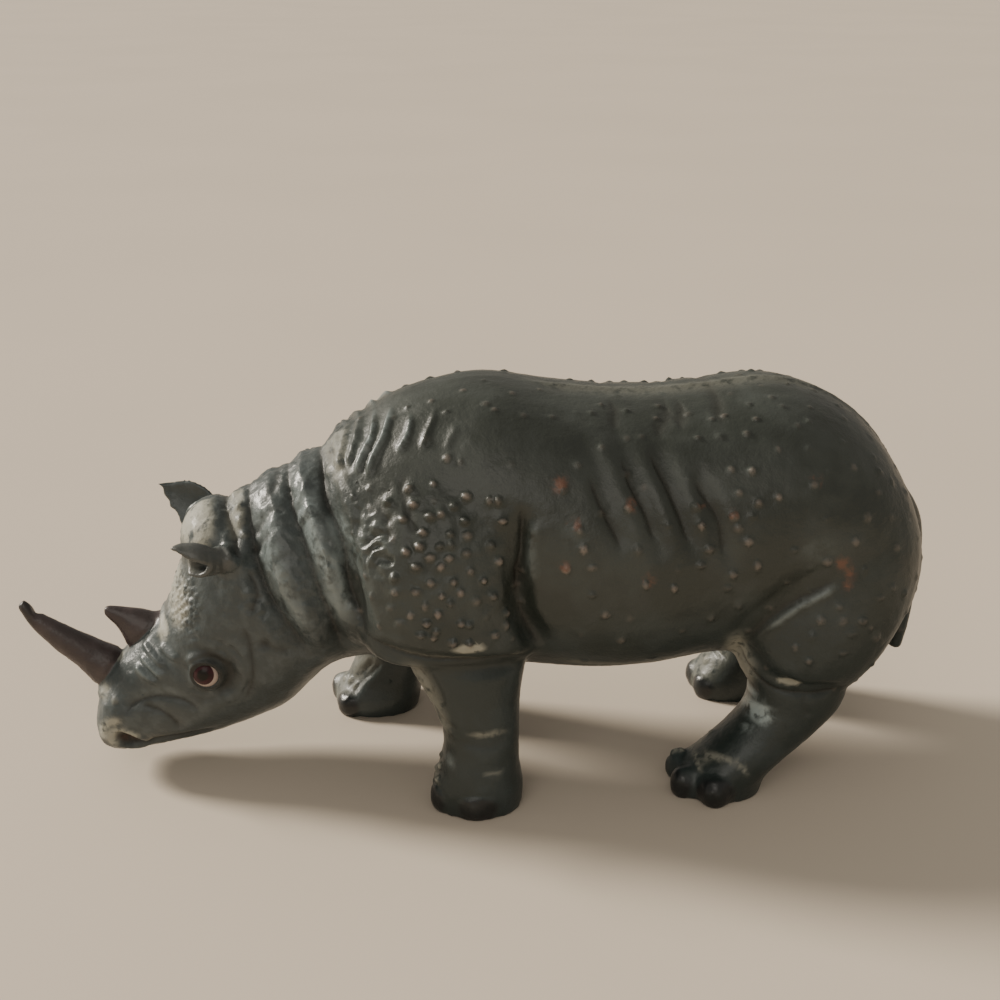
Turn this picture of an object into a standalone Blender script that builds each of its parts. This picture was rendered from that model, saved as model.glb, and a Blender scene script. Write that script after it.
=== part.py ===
"""A walking rhinoceros figurine, moulded in one piece of soft PVC.

The sculpt is worked out in its own unit, one 153rd of the figure's length, so that the pose, the
proportions and the carving are all shares of that length. The nose points to -X, the left side to
-Y, and the soles stand on Z = 0.
"""

import math

import bmesh
import bpy
import numpy as np
from mathutils import Vector

# Driving size, in metres, and the sculpt's own unit
FIGURE_LENGTH = 0.153
UNIT = FIGURE_LENGTH / 153.0

# How finely the pieces are fused, in sculpt units, and how many faces are kept
VOXEL = 0.5
FUSING_SMOOTH = 3
CARVING_SMOOTH = 2
KEPT_TRIANGLES = 9200
TRUNK_SIDES = 40
LIMB_SIDES = 24
RINGS_BETWEEN = 4

# Height above the lowest point at which the soles are cut flat
SOLE_CUT = 0.4

PVC_GREEN = (0.045, 0.052, 0.040, 1.0)
PVC_ROUGHNESS = 0.42

# Trunk, neck and head in one run, from the rump to the snout. A row is one slanted ring: its top
# and its lowest point in the median plane (x, z, x, z), its half width, how far up its widest
# point lies, and how square it is.
TRUNK = (
    (73.2, 37.5, 72.8, 33.5, 4.0, 0.50, 2.0),
    (71.4, 43.2, 70.0, 27.0, 11.5, 0.50, 2.1),
    (68.6, 49.8, 66.2, 22.0, 17.5, 0.50, 2.2),
    (63.4, 57.6, 61.0, 19.5, 21.0, 0.50, 2.2),
    (55.4, 63.6, 54.0, 19.0, 22.8, 0.50, 2.2),
    (46.0, 66.2, 46.5, 20.0, 23.5, 0.50, 2.2),
    (35.0, 65.2, 36.0, 20.5, 24.0, 0.47, 2.2),
    (24.0, 64.6, 26.0, 19.2, 24.8, 0.45, 2.2),
    (12.0, 65.6, 16.0, 18.8, 24.8, 0.45, 2.2),
    (0.0, 67.6, 5.0, 19.5, 23.0, 0.47, 2.2),
    (-8.0, 66.8, -5.0, 20.0, 21.5, 0.48, 2.1),
    (-15.0, 64.6, -14.0, 20.5, 20.0, 0.48, 2.1),
    (-22.0, 60.2, -21.0, 21.0, 18.6, 0.48, 2.1),
    (-29.0, 55.6, -26.4, 19.6, 17.2, 0.48, 2.1),
    (-36.0, 52.0, -30.0, 16.2, 15.6, 0.47, 2.1),
    (-42.6, 48.4, -34.0, 12.0, 14.0, 0.45, 2.1),
    (-48.2, 42.8, -39.0, 9.6, 12.8, 0.43, 2.1),
    (-51.4, 36.2, -44.0, 7.8, 12.0, 0.42, 2.1),
    (-53.8, 30.0, -49.0, 6.3, 10.8, 0.42, 2.1),
    (-57.6, 25.2, -53.8, 5.2, 9.4, 0.44, 2.1),
    (-61.6, 20.8, -58.6, 4.4, 8.4, 0.46, 2.2),
    (-65.0, 16.0, -62.2, 4.1, 7.6, 0.48, 2.2),
    (-66.5, 11.5, -64.8, 4.8, 6.0, 0.50, 2.2),
    (-66.7, 9.4, -66.2, 7.0, 3.0, 0.50, 2.0),
)

# Masses and limbs of upright rings. A row is the centre (x, y, z), half length and half width.
LEFT_SHOULDER = (
    (-6.4, -14.6, 26.6, 12.5, 9.0),
    (-6.8, -14.8, 28.2, 14.2, 10.4),
    (-7.6, -14.6, 34.0, 15.4, 11.2),
    (-8.0, -14.0, 42.0, 15.6, 11.0),
    (-7.4, -12.0, 50.0, 14.6, 10.2),
    (-6.0, -8.5, 57.0, 12.0, 8.6),
    (-4.0, -5.0, 62.5, 7.0, 5.0),
)
LEFT_HIP = (
    (50.5, -13.0, 17.6, 7.0, 6.4),
    (50.6, -14.0, 20.0, 9.6, 9.0),
    (51.6, -14.2, 25.0, 12.4, 10.6),
    (54.0, -13.2, 33.0, 14.2, 11.2),
    (56.0, -11.0, 42.0, 13.6, 11.4),
    (55.5, -8.0, 51.0, 11.5, 10.4),
    (54.0, -5.0, 58.0, 7.0, 7.0),
)
LEFT_FORELEG = (
    (-4.6, -16.0, 32.0, 9.6, 6.6),
    (-4.8, -16.6, 26.0, 9.6, 7.2),
    (-3.8, -17.2, 20.0, 7.6, 7.0),
    (-2.6, -17.8, 13.0, 6.2, 6.4),
    (-2.9, -18.0, 8.0, 6.5, 6.6),
    (-3.2, -18.0, 4.0, 7.4, 7.0),
    (-3.2, -18.0, 0.0, 7.2, 6.8),
)
RIGHT_FORELEG = (
    (-7.0, 16.0, 32.0, 9.6, 6.6),
    (-9.6, 16.4, 26.0, 9.2, 7.2),
    (-12.6, 16.8, 19.0, 8.0, 7.0),
    (-15.4, 17.2, 12.0, 6.9, 6.6),
    (-17.6, 17.6, 7.0, 6.8, 6.6),
    (-18.8, 17.8, 3.5, 7.8, 7.2),
    (-19.3, 18.0, 0.0, 7.6, 6.9),
)
LEFT_HIND_LEG = (
    (50.6, -15.0, 26.0, 9.0, 7.2),
    (50.0, -15.4, 20.0, 8.4, 7.0),
    (49.4, -15.8, 15.5, 8.0, 6.6),
    (45.8, -16.2, 11.0, 7.6, 6.4),
    (41.2, -16.6, 7.0, 7.4, 6.6),
    (37.6, -16.8, 3.5, 7.4, 6.9),
    (37.0, -16.8, 0.0, 7.0, 6.6),
)
RIGHT_HIND_LEG = (
    (52.6, 15.0, 26.0, 9.0, 7.2),
    (53.6, 15.4, 20.0, 8.4, 7.0),
    (54.4, 16.0, 15.5, 7.8, 6.6),
    (51.6, 16.8, 11.0, 7.4, 6.4),
    (49.0, 17.4, 7.0, 7.2, 6.6),
    (47.2, 17.8, 3.5, 7.2, 6.9),
    (46.8, 17.8, 0.0, 6.9, 6.6),
)

# Horns, tail and ears. A row is a point (x, y, z) on the centre line, and the radius there in the
# median plane and across it.
NOSE_HORN = (
    (-61.0, 0.0, 15.6, 4.4, 4.0),
    (-64.1, 0.0, 18.3, 3.9, 3.6),
    (-67.2, 0.0, 20.9, 3.0, 2.8),
    (-71.6, 0.0, 24.2, 2.3, 2.1),
    (-74.9, 0.0, 27.1, 1.6, 1.5),
    (-76.5, 0.0, 29.1, 1.2, 1.2),
    (-77.6, 0.0, 30.7, 0.9, 0.9),
)
REAR_HORN = (
    (-56.4, 0.0, 22.9, 4.1, 3.1),
    (-58.2, 0.0, 25.1, 3.8, 2.9),
    (-60.0, 0.0, 26.6, 2.7, 2.2),
    (-61.9, 0.0, 27.8, 1.7, 1.4),
    (-64.2, 0.0, 29.0, 0.9, 0.8),
)
TAIL = (
    (63.0, 0.0, 53.2, 1.9, 2.4),
    (68.6, 0.0, 46.8, 1.9, 2.3),
    (72.2, 0.0, 41.0, 1.9, 2.1),
    (73.2, 0.0, 34.8, 1.8, 1.9),
    (72.7, 0.0, 28.0, 1.7, 1.8),
    (72.2, 0.0, 21.6, 1.6, 2.0),
    (71.5, 0.0, 16.6, 1.3, 1.7),
)
LEFT_EAR = (
    (-38.0, -7.6, 41.0, 1.8, 1.8),
    (-41.4, -10.2, 41.6, 2.0, 1.9),
    (-44.2, -11.9, 42.3, 2.4, 2.2),
    (-46.6, -12.9, 42.6, 2.8, 2.5),
    (-48.6, -13.6, 41.9, 3.1, 2.5),
)
RIGHT_EAR = (
    (-41.0, 7.0, 41.6, 1.9, 1.8),
    (-44.6, 9.0, 42.4, 2.3, 2.1),
    (-47.6, 10.4, 43.3, 2.7, 2.4),
    (-50.4, 11.4, 43.9, 3.3, 2.4),
    (-53.0, 12.0, 43.1, 3.8, 2.2),
)

# The hollows of the ears: centre, the point that they open to, length and radii across
LEFT_EAR_HOLLOW = ((-49.0, -13.7, 41.8), (-58.0, -16.8, 38.8), 4.6, 1.8, 2.4)
RIGHT_EAR_HOLLOW = ((-53.4, 12.1, 42.9), (-62.6, 13.8, 39.1), 5.2, 1.5, 3.1)
HOLLOW_SIDES = 14

# Round masses, as a centre (x, y, z) and three radii. All but the poll are on both sides.
POLL = (-44.6, 0.0, 41.0, 6.2, 8.6, 7.2)
EYE = (-46.8, -11.1, 22.4, 2.3, 1.7, 2.3)
NOSTRIL_RIM = (-62.6, -5.4, 8.8, 2.9, 2.3, 2.7)
CHEEK = (-38.4, -7.2, 24.6, 9.4, 6.8, 8.6)

# Toes, by the directions they lie in seen from above, in degrees from +X
TOE = (2.4, 2.3, 3.2)
TOE_HEIGHT = 2.4
FEET = {
    "left_fore": (-3.7, -18.0, 5.1, (136.0, 203.0, 268.0)),
    "right_fore": (-19.6, 18.0, 5.8, (92.0, 157.0, 224.0)),
    "left_hind": (36.6, -16.8, 6.1, (152.0, 204.0, 258.0)),
    "right_hind": (46.8, 17.8, 5.3, (102.0, 158.0, 212.0)),
}

# Creases, as seen from the side: points (x, z), depth and half width. Each crosses both sides.
CREASES = {
    "poll": (((-43.6, 50.0), (-42.0, 46.4), (-39.8, 43.2)), 0.9, 1.0),
    "nape": (
        ((-38.6, 53.5), (-38.8, 46.1), (-37.6, 40.2), (-35.7, 35.6), (-31.9, 28.6), (-28.0, 22.0)),
        2.0,
        1.4,
    ),
    "neck": (
        ((-32.2, 57.0), (-32.6, 52.0), (-31.1, 47.2), (-28.4, 38.9), (-25.4, 29.5), (-24.0, 22.0)),
        2.0,
        1.4,
    ),
    "collar": (
        ((-27.4, 60.0), (-27.3, 54.6), (-26.1, 51.2), (-24.1, 45.2), (-23.4, 39.0), (-20.4, 30.6)),
        2.1,
        1.4,
    ),
    "collar fold": (((-24.2, 47.5), (-23.2, 41.0), (-22.6, 34.0)), 0.4, 0.9),
    "shoulder back": (((3.5, 54.0), (3.3, 47.0), (2.7, 41.9), (3.4, 35.4), (7.6, 27.6)), 1.9, 1.5),
    "shoulder hem": (
        ((-22.0, 33.0), (-20.2, 31.4), (-15.6, 30.2), (-4.8, 28.6), (5.0, 27.4)),
        1.2,
        1.2,
    ),
    "first rib": (((12.6, 62.5), (15.5, 57.2), (19.4, 45.0)), 0.7, 1.3),
    "second rib": (((18.0, 63.5), (21.0, 57.0), (25.6, 43.0)), 0.8, 1.3),
    "third rib": (((23.6, 62.0), (26.4, 56.5), (30.6, 43.0)), 0.8, 1.3),
    "fourth rib": (((30.0, 59.0), (32.4, 53.0), (36.4, 41.0)), 0.7, 1.3),
    "thigh front": (((36.6, 27.4), (40.6, 33.4), (45.6, 38.0), (52.0, 41.4)), 0.9, 1.7),
    "thigh hem": (
        ((39.4, 29.4), (39.9, 26.8), (42.8, 22.8), (48.2, 20.7), (57.0, 20.2)),
        1.3,
        1.2,
    ),
    "mouth": (((-64.0, 6.9), (-57.5, 7.6), (-53.4, 8.1), (-49.0, 8.8), (-45.2, 10.8)), 0.7, 0.8),
    "socket": (
        ((-46.8, 27.2), (-43.4, 26.8), (-41.5, 24.4), (-41.3, 21.4), (-42.8, 18.6), (-45.6, 17.4)),
        0.5,
        1.0,
    ),
    "brow": (((-57.0, 25.6), (-53.6, 24.4), (-50.4, 21.8), (-50.2, 18.8)), 0.3, 1.0),
    "left knee": (((-7.5, 15.4), (-2.0, 14.4), (2.6, 14.8)), 0.5, 0.8),
    "left ankle": (((-5.6, 9.6), (-1.0, 9.2), (2.4, 9.8)), 0.4, 0.8),
}

# How high a crease's lips stand, and how much of its depth it keeps within a band at the median
LIP = 0.3
MEDIAN_BAND = 8.0
MEDIAN_SHARE = 0.35

# Round pits on both sides: centre (x, y, z), radius and depth
PITS = ((-62.2, -7.7, 9.4, 1.5, 1.7),)


def smooth_rows(rows, between=RINGS_BETWEEN):
    """Rows of numbers with more rows between them, on Catmull-Rom curves through the given ones."""
    given = np.array(rows, float)
    before = 2 * given[0] - given[1]
    after = 2 * given[-1] - given[-2]
    knots = np.vstack([before, given, after])
    made = []
    for i in range(1, len(knots) - 2):
        for step in range(between):
            t = step / between
            p0, p1, p2, p3 = knots[i - 1 : i + 3]
            made.append(
                p1
                + 0.5 * t * (p2 - p0)
                + t * t * (p0 - 2.5 * p1 + 2 * p2 - 0.5 * p3)
                + t * t * t * (1.5 * (p1 - p2) + 0.5 * (p3 - p0))
            )
    made.append(given[-1])
    return np.array(made)


def oval(half_width, up, down, squareness, sides):
    """Points round a superellipse as (across, along), with its own half height above and below."""
    points = []
    for k in range(sides):
        angle = 2 * math.pi * k / sides
        across = math.copysign(abs(math.sin(angle)) ** (2 / squareness), math.sin(angle))
        along = math.copysign(abs(math.cos(angle)) ** (2 / squareness), math.cos(angle))
        points.append((half_width * across, along * (up if along > 0 else down)))
    return points


def skin_rings(name, rings):
    """A closed mesh object over rings of equally many points, with a flat cap at each end."""
    mesh = bmesh.new()
    loops = [[mesh.verts.new(point) for point in ring] for ring in rings]
    count = len(loops[0])
    for lower, upper in zip(loops, loops[1:]):
        for k in range(count):
            after = (k + 1) % count
            mesh.faces.new((lower[k], lower[after], upper[after], upper[k]))
    mesh.faces.new(loops[0])
    mesh.faces.new(loops[-1])
    bmesh.ops.recalc_face_normals(mesh, faces=mesh.faces)
    data = bpy.data.meshes.new(name)
    mesh.to_mesh(data)
    mesh.free()
    made = bpy.data.objects.new(name, data)
    bpy.context.scene.collection.objects.link(made)
    return made


def loft_slanted(name, rows):
    """A body of slanted rings across the median plane."""
    rings = []
    for top_x, top_z, low_x, low_z, half_width, widest, squareness in smooth_rows(rows):
        top = Vector((top_x, 0, top_z))
        low = Vector((low_x, 0, low_z))
        height = (top - low).length
        upward = (top - low).normalized()
        centre = low + upward * height * widest
        shape = oval(half_width, height * (1 - widest), height * widest, squareness, TRUNK_SIDES)
        rings.append([centre + upward * along + Vector((0, across, 0)) for across, along in shape])
    return skin_rings(name, rings)


def loft_upright(name, rows, side=1, squareness=2.2):
    """A limb or mass of level rings. Side -1 mirrors it to the other side of the body."""
    rings = []
    for x, y, z, half_length, half_width in smooth_rows(rows):
        shape = oval(half_width, half_length, half_length, squareness, LIMB_SIDES)
        rings.append([Vector((x + along, side * (y + across), z)) for across, along in shape])
    return skin_rings(name, rings)


def loft_tube(name, rows, mirror=1):
    """A tapering horn, tail or ear, of oval rings square to its centre line."""
    rows = smooth_rows(rows)
    rows[:, 1] *= mirror
    centres = rows[:, :3]
    rings = []
    for k, (x, y, z, tall, wide) in enumerate(rows):
        ahead = Vector(centres[min(k + 1, len(rows) - 1)] - centres[max(k - 1, 0)]).normalized()
        across = Vector((0, 1, 0))
        across = (across - ahead * across.dot(ahead)).normalized()
        upward = ahead.cross(across)
        shape = oval(wide, tall, tall, 2.0, LIMB_SIDES)
        rings.append([Vector((x, y, z)) + across * a + upward * b for a, b in shape])
    return skin_rings(name, rings)


def round_mass(name, centre, radii, turn=None, sides=LIMB_SIDES):
    mesh = bmesh.new()
    bmesh.ops.create_uvsphere(mesh, u_segments=sides, v_segments=sides // 2, radius=1)
    bmesh.ops.scale(mesh, vec=radii, verts=mesh.verts)
    if turn:
        bmesh.ops.rotate(mesh, matrix=turn, verts=mesh.verts)
    bmesh.ops.translate(mesh, vec=centre, verts=mesh.verts)
    data = bpy.data.meshes.new(name)
    mesh.to_mesh(data)
    mesh.free()
    made = bpy.data.objects.new(name, data)
    bpy.context.scene.collection.objects.link(made)
    return made


def model_masses():
    """The overlapping closed masses that the figure is put together from, in sculpt units."""
    masses = [
        loft_slanted("trunk", TRUNK),
        loft_upright("left_shoulder", LEFT_SHOULDER),
        loft_upright("right_shoulder", LEFT_SHOULDER, side=-1),
        loft_upright("left_hip", LEFT_HIP),
        loft_upright("right_hip", LEFT_HIP, side=-1),
        loft_upright("left_foreleg", LEFT_FORELEG),
        loft_upright("right_foreleg", RIGHT_FORELEG),
        loft_upright("left_hind_leg", LEFT_HIND_LEG),
        loft_upright("right_hind_leg", RIGHT_HIND_LEG),
        loft_tube("nose_horn", NOSE_HORN),
        loft_tube("rear_horn", REAR_HORN),
        loft_tube("tail", TAIL),
        loft_tube("left_ear", LEFT_EAR),
        loft_tube("right_ear", RIGHT_EAR),
    ]
    masses.append(round_mass("poll", POLL[:3], POLL[3:]))
    for mass in (EYE, NOSTRIL_RIM, CHEEK):
        for side in (1, -1):
            centre = (mass[0], side * mass[1], mass[2])
            masses.append(round_mass("head_mass", centre, mass[3:]))
    for foot, (x, y, reach, directions) in FEET.items():
        for direction in directions:
            turn = math.radians(direction)
            centre = (x + reach * math.cos(turn), y + reach * math.sin(turn), TOE_HEIGHT)
            masses.append(round_mass(foot + "_toe", centre, TOE))
    return masses


def replace_mesh(obj, mesh):
    old = obj.data
    obj.modifiers.clear()
    obj.data = mesh
    bpy.data.meshes.remove(old)


def apply_modifiers(obj):
    graph = bpy.context.evaluated_depsgraph_get()
    replace_mesh(obj, bpy.data.meshes.new_from_object(obj.evaluated_get(graph)))


def fuse(masses, name):
    """One closed skin round all the masses, with their joins slightly softened."""
    joined = bmesh.new()
    for mass in masses:
        joined.from_mesh(mass.data)
    data = bpy.data.meshes.new(name)
    joined.to_mesh(data)
    joined.free()
    for mass in masses:
        bpy.data.objects.remove(mass)
    figure = bpy.data.objects.new(name, data)
    bpy.context.scene.collection.objects.link(figure)
    remesh = figure.modifiers.new("Fuse", "REMESH")
    remesh.mode = "VOXEL"
    remesh.voxel_size = VOXEL
    soften = figure.modifiers.new("Soften", "SMOOTH")
    soften.factor = 0.5
    soften.iterations = FUSING_SMOOTH
    apply_modifiers(figure)
    return figure


def mesh_arrays(mesh):
    """Positions and normals of a mesh's points."""
    count = len(mesh.vertices)
    points = np.empty(count * 3, np.float32)
    mesh.vertices.foreach_get("co", points)
    normals = np.empty(count * 3, np.float32)
    mesh.vertex_normals.foreach_get("vector", normals)
    return points.reshape(-1, 3).astype(float), normals.reshape(-1, 3).astype(float)


def along_line(flat, line):
    """Distance of flat points from a line of points, and how far along it each lies, from 0 to 1."""
    line = np.array(line, float)
    lengths = np.linalg.norm(np.diff(line, axis=0), axis=1)
    starts = np.concatenate([[0], np.cumsum(lengths)])
    best = np.full(len(flat), np.inf)
    place = np.zeros(len(flat))
    for k, length in enumerate(lengths):
        step = (line[k + 1] - line[k]) / length
        run = np.clip((flat - line[k]) @ step, 0, length)
        away = np.linalg.norm(flat - line[k] - run[:, None] * step, axis=1)
        nearer = away < best
        best[nearer] = away[nearer]
        place[nearer] = (starts[k] + run[nearer]) / starts[-1]
    return best, place


def crease_depth(flat, line, depth, half_width):
    """How far a crease pushes each point in, with a soft lip on both sides, fading at its ends."""
    away, place = along_line(flat, line)
    share = (away / half_width) ** 2
    ramp = np.clip(np.minimum(place, 1 - place) / 0.22, 0, 1)
    return depth * ramp * ramp * (3 - 2 * ramp) * (1 - LIP * share) * np.exp(-0.5 * share)


def carve(figure):
    """Push the skin in along the creases and pits, and soften what is cut."""
    points, normals = mesh_arrays(figure.data)
    flat = points[:, [0, 2]]
    inward = np.zeros(len(points))
    for line, depth, half_width in CREASES.values():
        inward += crease_depth(flat, line, depth, half_width)
    off_median = np.clip(np.abs(points[:, 1]) / MEDIAN_BAND, 0, 1)
    inward *= MEDIAN_SHARE + (1 - MEDIAN_SHARE) * off_median
    for x, y, z, radius, depth in PITS:
        away = np.linalg.norm(np.abs(points * [0, 1, 0]) + points * [1, 0, 1] - [x, abs(y), z], axis=1)
        inward += depth * np.exp(-((away / radius) ** 2))
    points -= normals * inward[:, None]
    figure.data.vertices.foreach_set("co", points.astype(np.float32).ravel())
    figure.data.update()
    soften = figure.modifiers.new("Soften carving", "SMOOTH")
    soften.factor = 0.5
    soften.iterations = CARVING_SMOOTH
    thin = figure.modifiers.new("Thin out", "DECIMATE")
    thin.ratio = KEPT_TRIANGLES / (2 * len(points))
    apply_modifiers(figure)


def cut(figure, cutter):
    """Take a closed cutter away from the figure."""
    difference = figure.modifiers.new("Cut", "BOOLEAN")
    difference.operation = "DIFFERENCE"
    difference.solver = "EXACT"
    difference.object = cutter
    apply_modifiers(figure)
    bpy.data.objects.remove(cutter)


def ear_hollow(name, centre, opens_to, length, across, tall):
    """A long round mass from an ear's opening inwards."""
    ahead = (Vector(opens_to) - Vector(centre)).normalized()
    turn = ahead.to_track_quat("X", "Z").to_matrix()
    return round_mass(name, centre, (length, across, tall), turn, HOLLOW_SIDES)


def block(name, low, high):
    """A box between two opposite corners."""
    mesh = bmesh.new()
    bmesh.ops.create_cube(mesh, size=1)
    bmesh.ops.scale(mesh, vec=[b - a for a, b in zip(low, high)], verts=mesh.verts)
    bmesh.ops.translate(mesh, vec=[(a + b) / 2 for a, b in zip(low, high)], verts=mesh.verts)
    data = bpy.data.meshes.new(name)
    mesh.to_mesh(data)
    mesh.free()
    made = bpy.data.objects.new(name, data)
    bpy.context.scene.collection.objects.link(made)
    return made


def stand_in_place(figure):
    """Scale the sculpt to metres, its bounding box centred on Z = 0 over the soles."""
    points, _ = mesh_arrays(figure.data)
    low = points.min(axis=0)
    high = points.max(axis=0)
    middle = (low + high) / 2
    middle[2] = low[2]
    placed = (points - middle) * UNIT
    figure.data.vertices.foreach_set("co", placed.astype(np.float32).ravel())
    figure.data.polygons.foreach_set("use_smooth", [True] * len(figure.data.polygons))
    figure.data.update()


def paint(figure):
    material = bpy.data.materials.new("moulded_pvc")
    material.use_nodes = True
    shader = material.node_tree.nodes["Principled BSDF"]
    shader.inputs["Base Color"].default_value = PVC_GREEN
    shader.inputs["Roughness"].default_value = PVC_ROUGHNESS
    figure.data.materials.clear()
    figure.data.materials.append(material)


def main():
    for old in list(bpy.data.objects):
        bpy.data.objects.remove(old)
    figure = fuse(model_masses(), "rhinoceros")
    carve(figure)
    cut(figure, ear_hollow("left_ear_hollow", *LEFT_EAR_HOLLOW))
    cut(figure, ear_hollow("right_ear_hollow", *RIGHT_EAR_HOLLOW))
    cut(figure, block("ground", (-100, -60, -20), (100, 60, SOLE_CUT)))
    stand_in_place(figure)
    paint(figure)
    collection = bpy.data.collections.new("rhinoceros_figurine")
    bpy.context.scene.collection.children.link(collection)
    bpy.context.scene.collection.objects.unlink(figure)
    collection.objects.link(figure)


main()
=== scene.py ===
import math

import bmesh
import bpy
import numpy as np
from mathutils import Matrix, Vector, noise


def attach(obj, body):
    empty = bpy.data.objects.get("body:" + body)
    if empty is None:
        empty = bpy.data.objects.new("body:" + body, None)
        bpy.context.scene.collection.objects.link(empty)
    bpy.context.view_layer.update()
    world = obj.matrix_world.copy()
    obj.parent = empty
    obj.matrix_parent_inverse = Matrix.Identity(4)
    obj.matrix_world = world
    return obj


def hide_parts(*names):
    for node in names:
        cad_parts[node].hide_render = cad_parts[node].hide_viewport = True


bl_info = {
    "name": "Rhinoceros Figurine",
    "version": (1, 0, 0),
    "blender": (4, 5, 0),
    "location": "View3D > Sidebar > Figurine",
    "description": "Skin relief, paint, eyes and nails of a moulded rhinoceros figurine",
    "category": "Object",
}

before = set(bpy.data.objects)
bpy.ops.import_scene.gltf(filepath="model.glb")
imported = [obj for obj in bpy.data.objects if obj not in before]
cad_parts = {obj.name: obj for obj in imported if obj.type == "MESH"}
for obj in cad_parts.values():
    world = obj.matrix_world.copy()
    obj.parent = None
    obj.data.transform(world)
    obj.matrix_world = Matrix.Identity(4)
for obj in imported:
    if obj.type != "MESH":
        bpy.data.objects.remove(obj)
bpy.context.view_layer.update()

MM = 0.001
NODE = "rhinoceros"

# Folds on both sides of the body. A row is the fold's points (x, z) seen from the side, its depth,
# how fast it rises ahead of the line and behind it, and the half width of the band that is levelled
# first, all in millimetres. Behind is the side that lies to the left of the way the line runs.
FOLDS = (
    (((-42.4, 49.4), (-40.6, 46.0), (-39.2, 43.2), (-38.2, 41.0)), 0.9, 0.5, 0.7, 0.0),
    (
        ((-37.4, 53.0), (-37.5, 48.0), (-36.9, 44.0), (-35.9, 40.0),
         (-34.5, 36.0), (-32.3, 32.0), (-27.4, 23.6)),
        1.1, 0.6, 0.8, 2.4,
    ),
    (
        ((-30.8, 57.0), (-31.0, 52.0), (-29.9, 48.0), (-28.5, 44.0),
         (-26.0, 36.0), (-24.6, 32.0), (-22.4, 22.6)),
        1.1, 0.6, 0.8, 2.4,
    ),
    (
        ((-26.0, 60.0), (-25.2, 52.0), (-23.5, 48.0), (-22.2, 44.0),
         (-21.7, 40.0), (-20.8, 36.0), (-18.9, 30.4)),
        1.0, 0.5, 0.7, 2.4,
    ),
    (((5.0, 53.0), (4.9, 46.6), (4.3, 41.5), (4.6, 38.0)), 0.9, 0.35, 0.7, 1.8),
    (((4.4, 45.0), (4.3, 41.0), (5.0, 35.0), (8.8, 27.4)), 0.5, 0.5, 1.2, 0.0),
    (
        ((-20.4, 32.6), (-18.6, 31.0), (-14.0, 29.7),
         (-7.8, 28.8), (1.5, 28.2), (7.6, 28.0)),
        0.6, 0.4, 0.25, 0.0,
    ),
    (((41.4, 26.2), (43.2, 31.0), (47.4, 35.2), (51.2, 37.5), (55.0, 39.8)), 0.35, 0.5, 1.5, 2.4),
    (
        ((40.6, 27.4), (41.9, 23.2), (44.0, 20.8),
         (47.0, 19.6), (54.3, 19.2), (58.6, 20.4)),
        0.6, 0.4, 0.25, 0.0,
    ),
    (
        ((-59.6, 12.2), (-58.2, 14.6), (-55.4, 16.1),
         (-52.0, 16.6), (-48.8, 15.9), (-46.0, 13.6)),
        0.9, 0.9, 1.8, 0.0,
    ),
    (((-56.9, 14.9), (-53.4, 13.9), (-51.4, 12.1), (-50.4, 10.0)), 0.7, 0.9, 1.3, 0.0),
    (
        ((-62.0, 6.8), (-58.8, 6.5), (-55.9, 6.9),
         (-52.6, 7.3), (-49.3, 7.8), (-44.2, 9.8)),
        0.6, 0.35, 0.4, 0.0,
    ),
    (((-39.1, 31.8), (-37.7, 26.5), (-37.7, 21.0), (-39.3, 15.6)), 0.5, 1.4, 1.4, 0.0),
    (((-37.4, 39.6), (-36.1, 35.9), (-37.9, 32.2)), 0.5, 1.0, 0.7, 0.0),
    (((15.3, 56.8), (17.1, 52.4), (19.0, 48.5), (20.3, 45.6)), 0.45, 0.4, 0.8, 0.0),
    (((20.7, 58.8), (22.0, 54.8), (24.0, 50.9), (25.4, 46.3)), 0.5, 0.4, 0.8, 0.0),
    (((24.9, 59.5), (26.9, 55.8), (29.1, 50.9), (30.8, 45.6)), 0.5, 0.4, 0.8, 0.0),
    (((31.3, 55.8), (33.3, 52.9), (35.3, 49.5), (36.2, 43.6)), 0.5, 0.4, 0.8, 0.0),
)
LEVELLING_PASSES = 260
# Smoothing passes over the whole skin, and the grid in metres that they are meant for
SOFTENING = (24, 0.0004)
# Fine creases and their half widths: before the withers, on the back, round the eyes and knees
WRINKLES = (
    (((-12.9, 56.4), (-12.6, 53.2), (-11.8, 50.4), (-11.6, 48.4)), 0.35, 0.5),
    (((-16.7, 52.6), (-15.4, 50.2), (-15.0, 47.0)), 0.35, 0.5),
    (((-33.0, 49.4), (-35.2, 46.8), (-36.6, 44.0)), 0.6, 0.4),
    (((-33.8, 46.2), (-35.8, 43.4), (-36.9, 41.8)), 0.5, 0.4),
    (((-32.0, 52.6), (-34.0, 50.2), (-35.6, 48.6)), 0.4, 0.4),
    (((-23.6, 57.4), (-24.6, 55.0)), 0.4, 0.35),
    (((30.2, 63.8), (28.5, 62.2), (26.4, 60.9)), 0.3, 0.6),
    (((32.4, 63.8), (30.4, 61.6)), 0.3, 0.6),
    (((38.2, 65.2), (37.0, 62.2)), 0.3, 0.6),
    (((21.4, 64.0), (20.2, 61.6)), 0.25, 0.6),
    (((-35.0, 28.9), (-35.9, 26.0)), 0.3, 0.5),
    (((-36.8, 27.9), (-33.7, 26.8), (-31.0, 26.2)), 0.3, 0.4),
    (((-44.6, 18.6), (-46.6, 18.2), (-48.4, 19.0)), 0.3, 0.35),
    (((-43.2, 17.2), (-46.2, 16.8), (-48.8, 17.6)), 0.25, 0.4),
)
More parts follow.
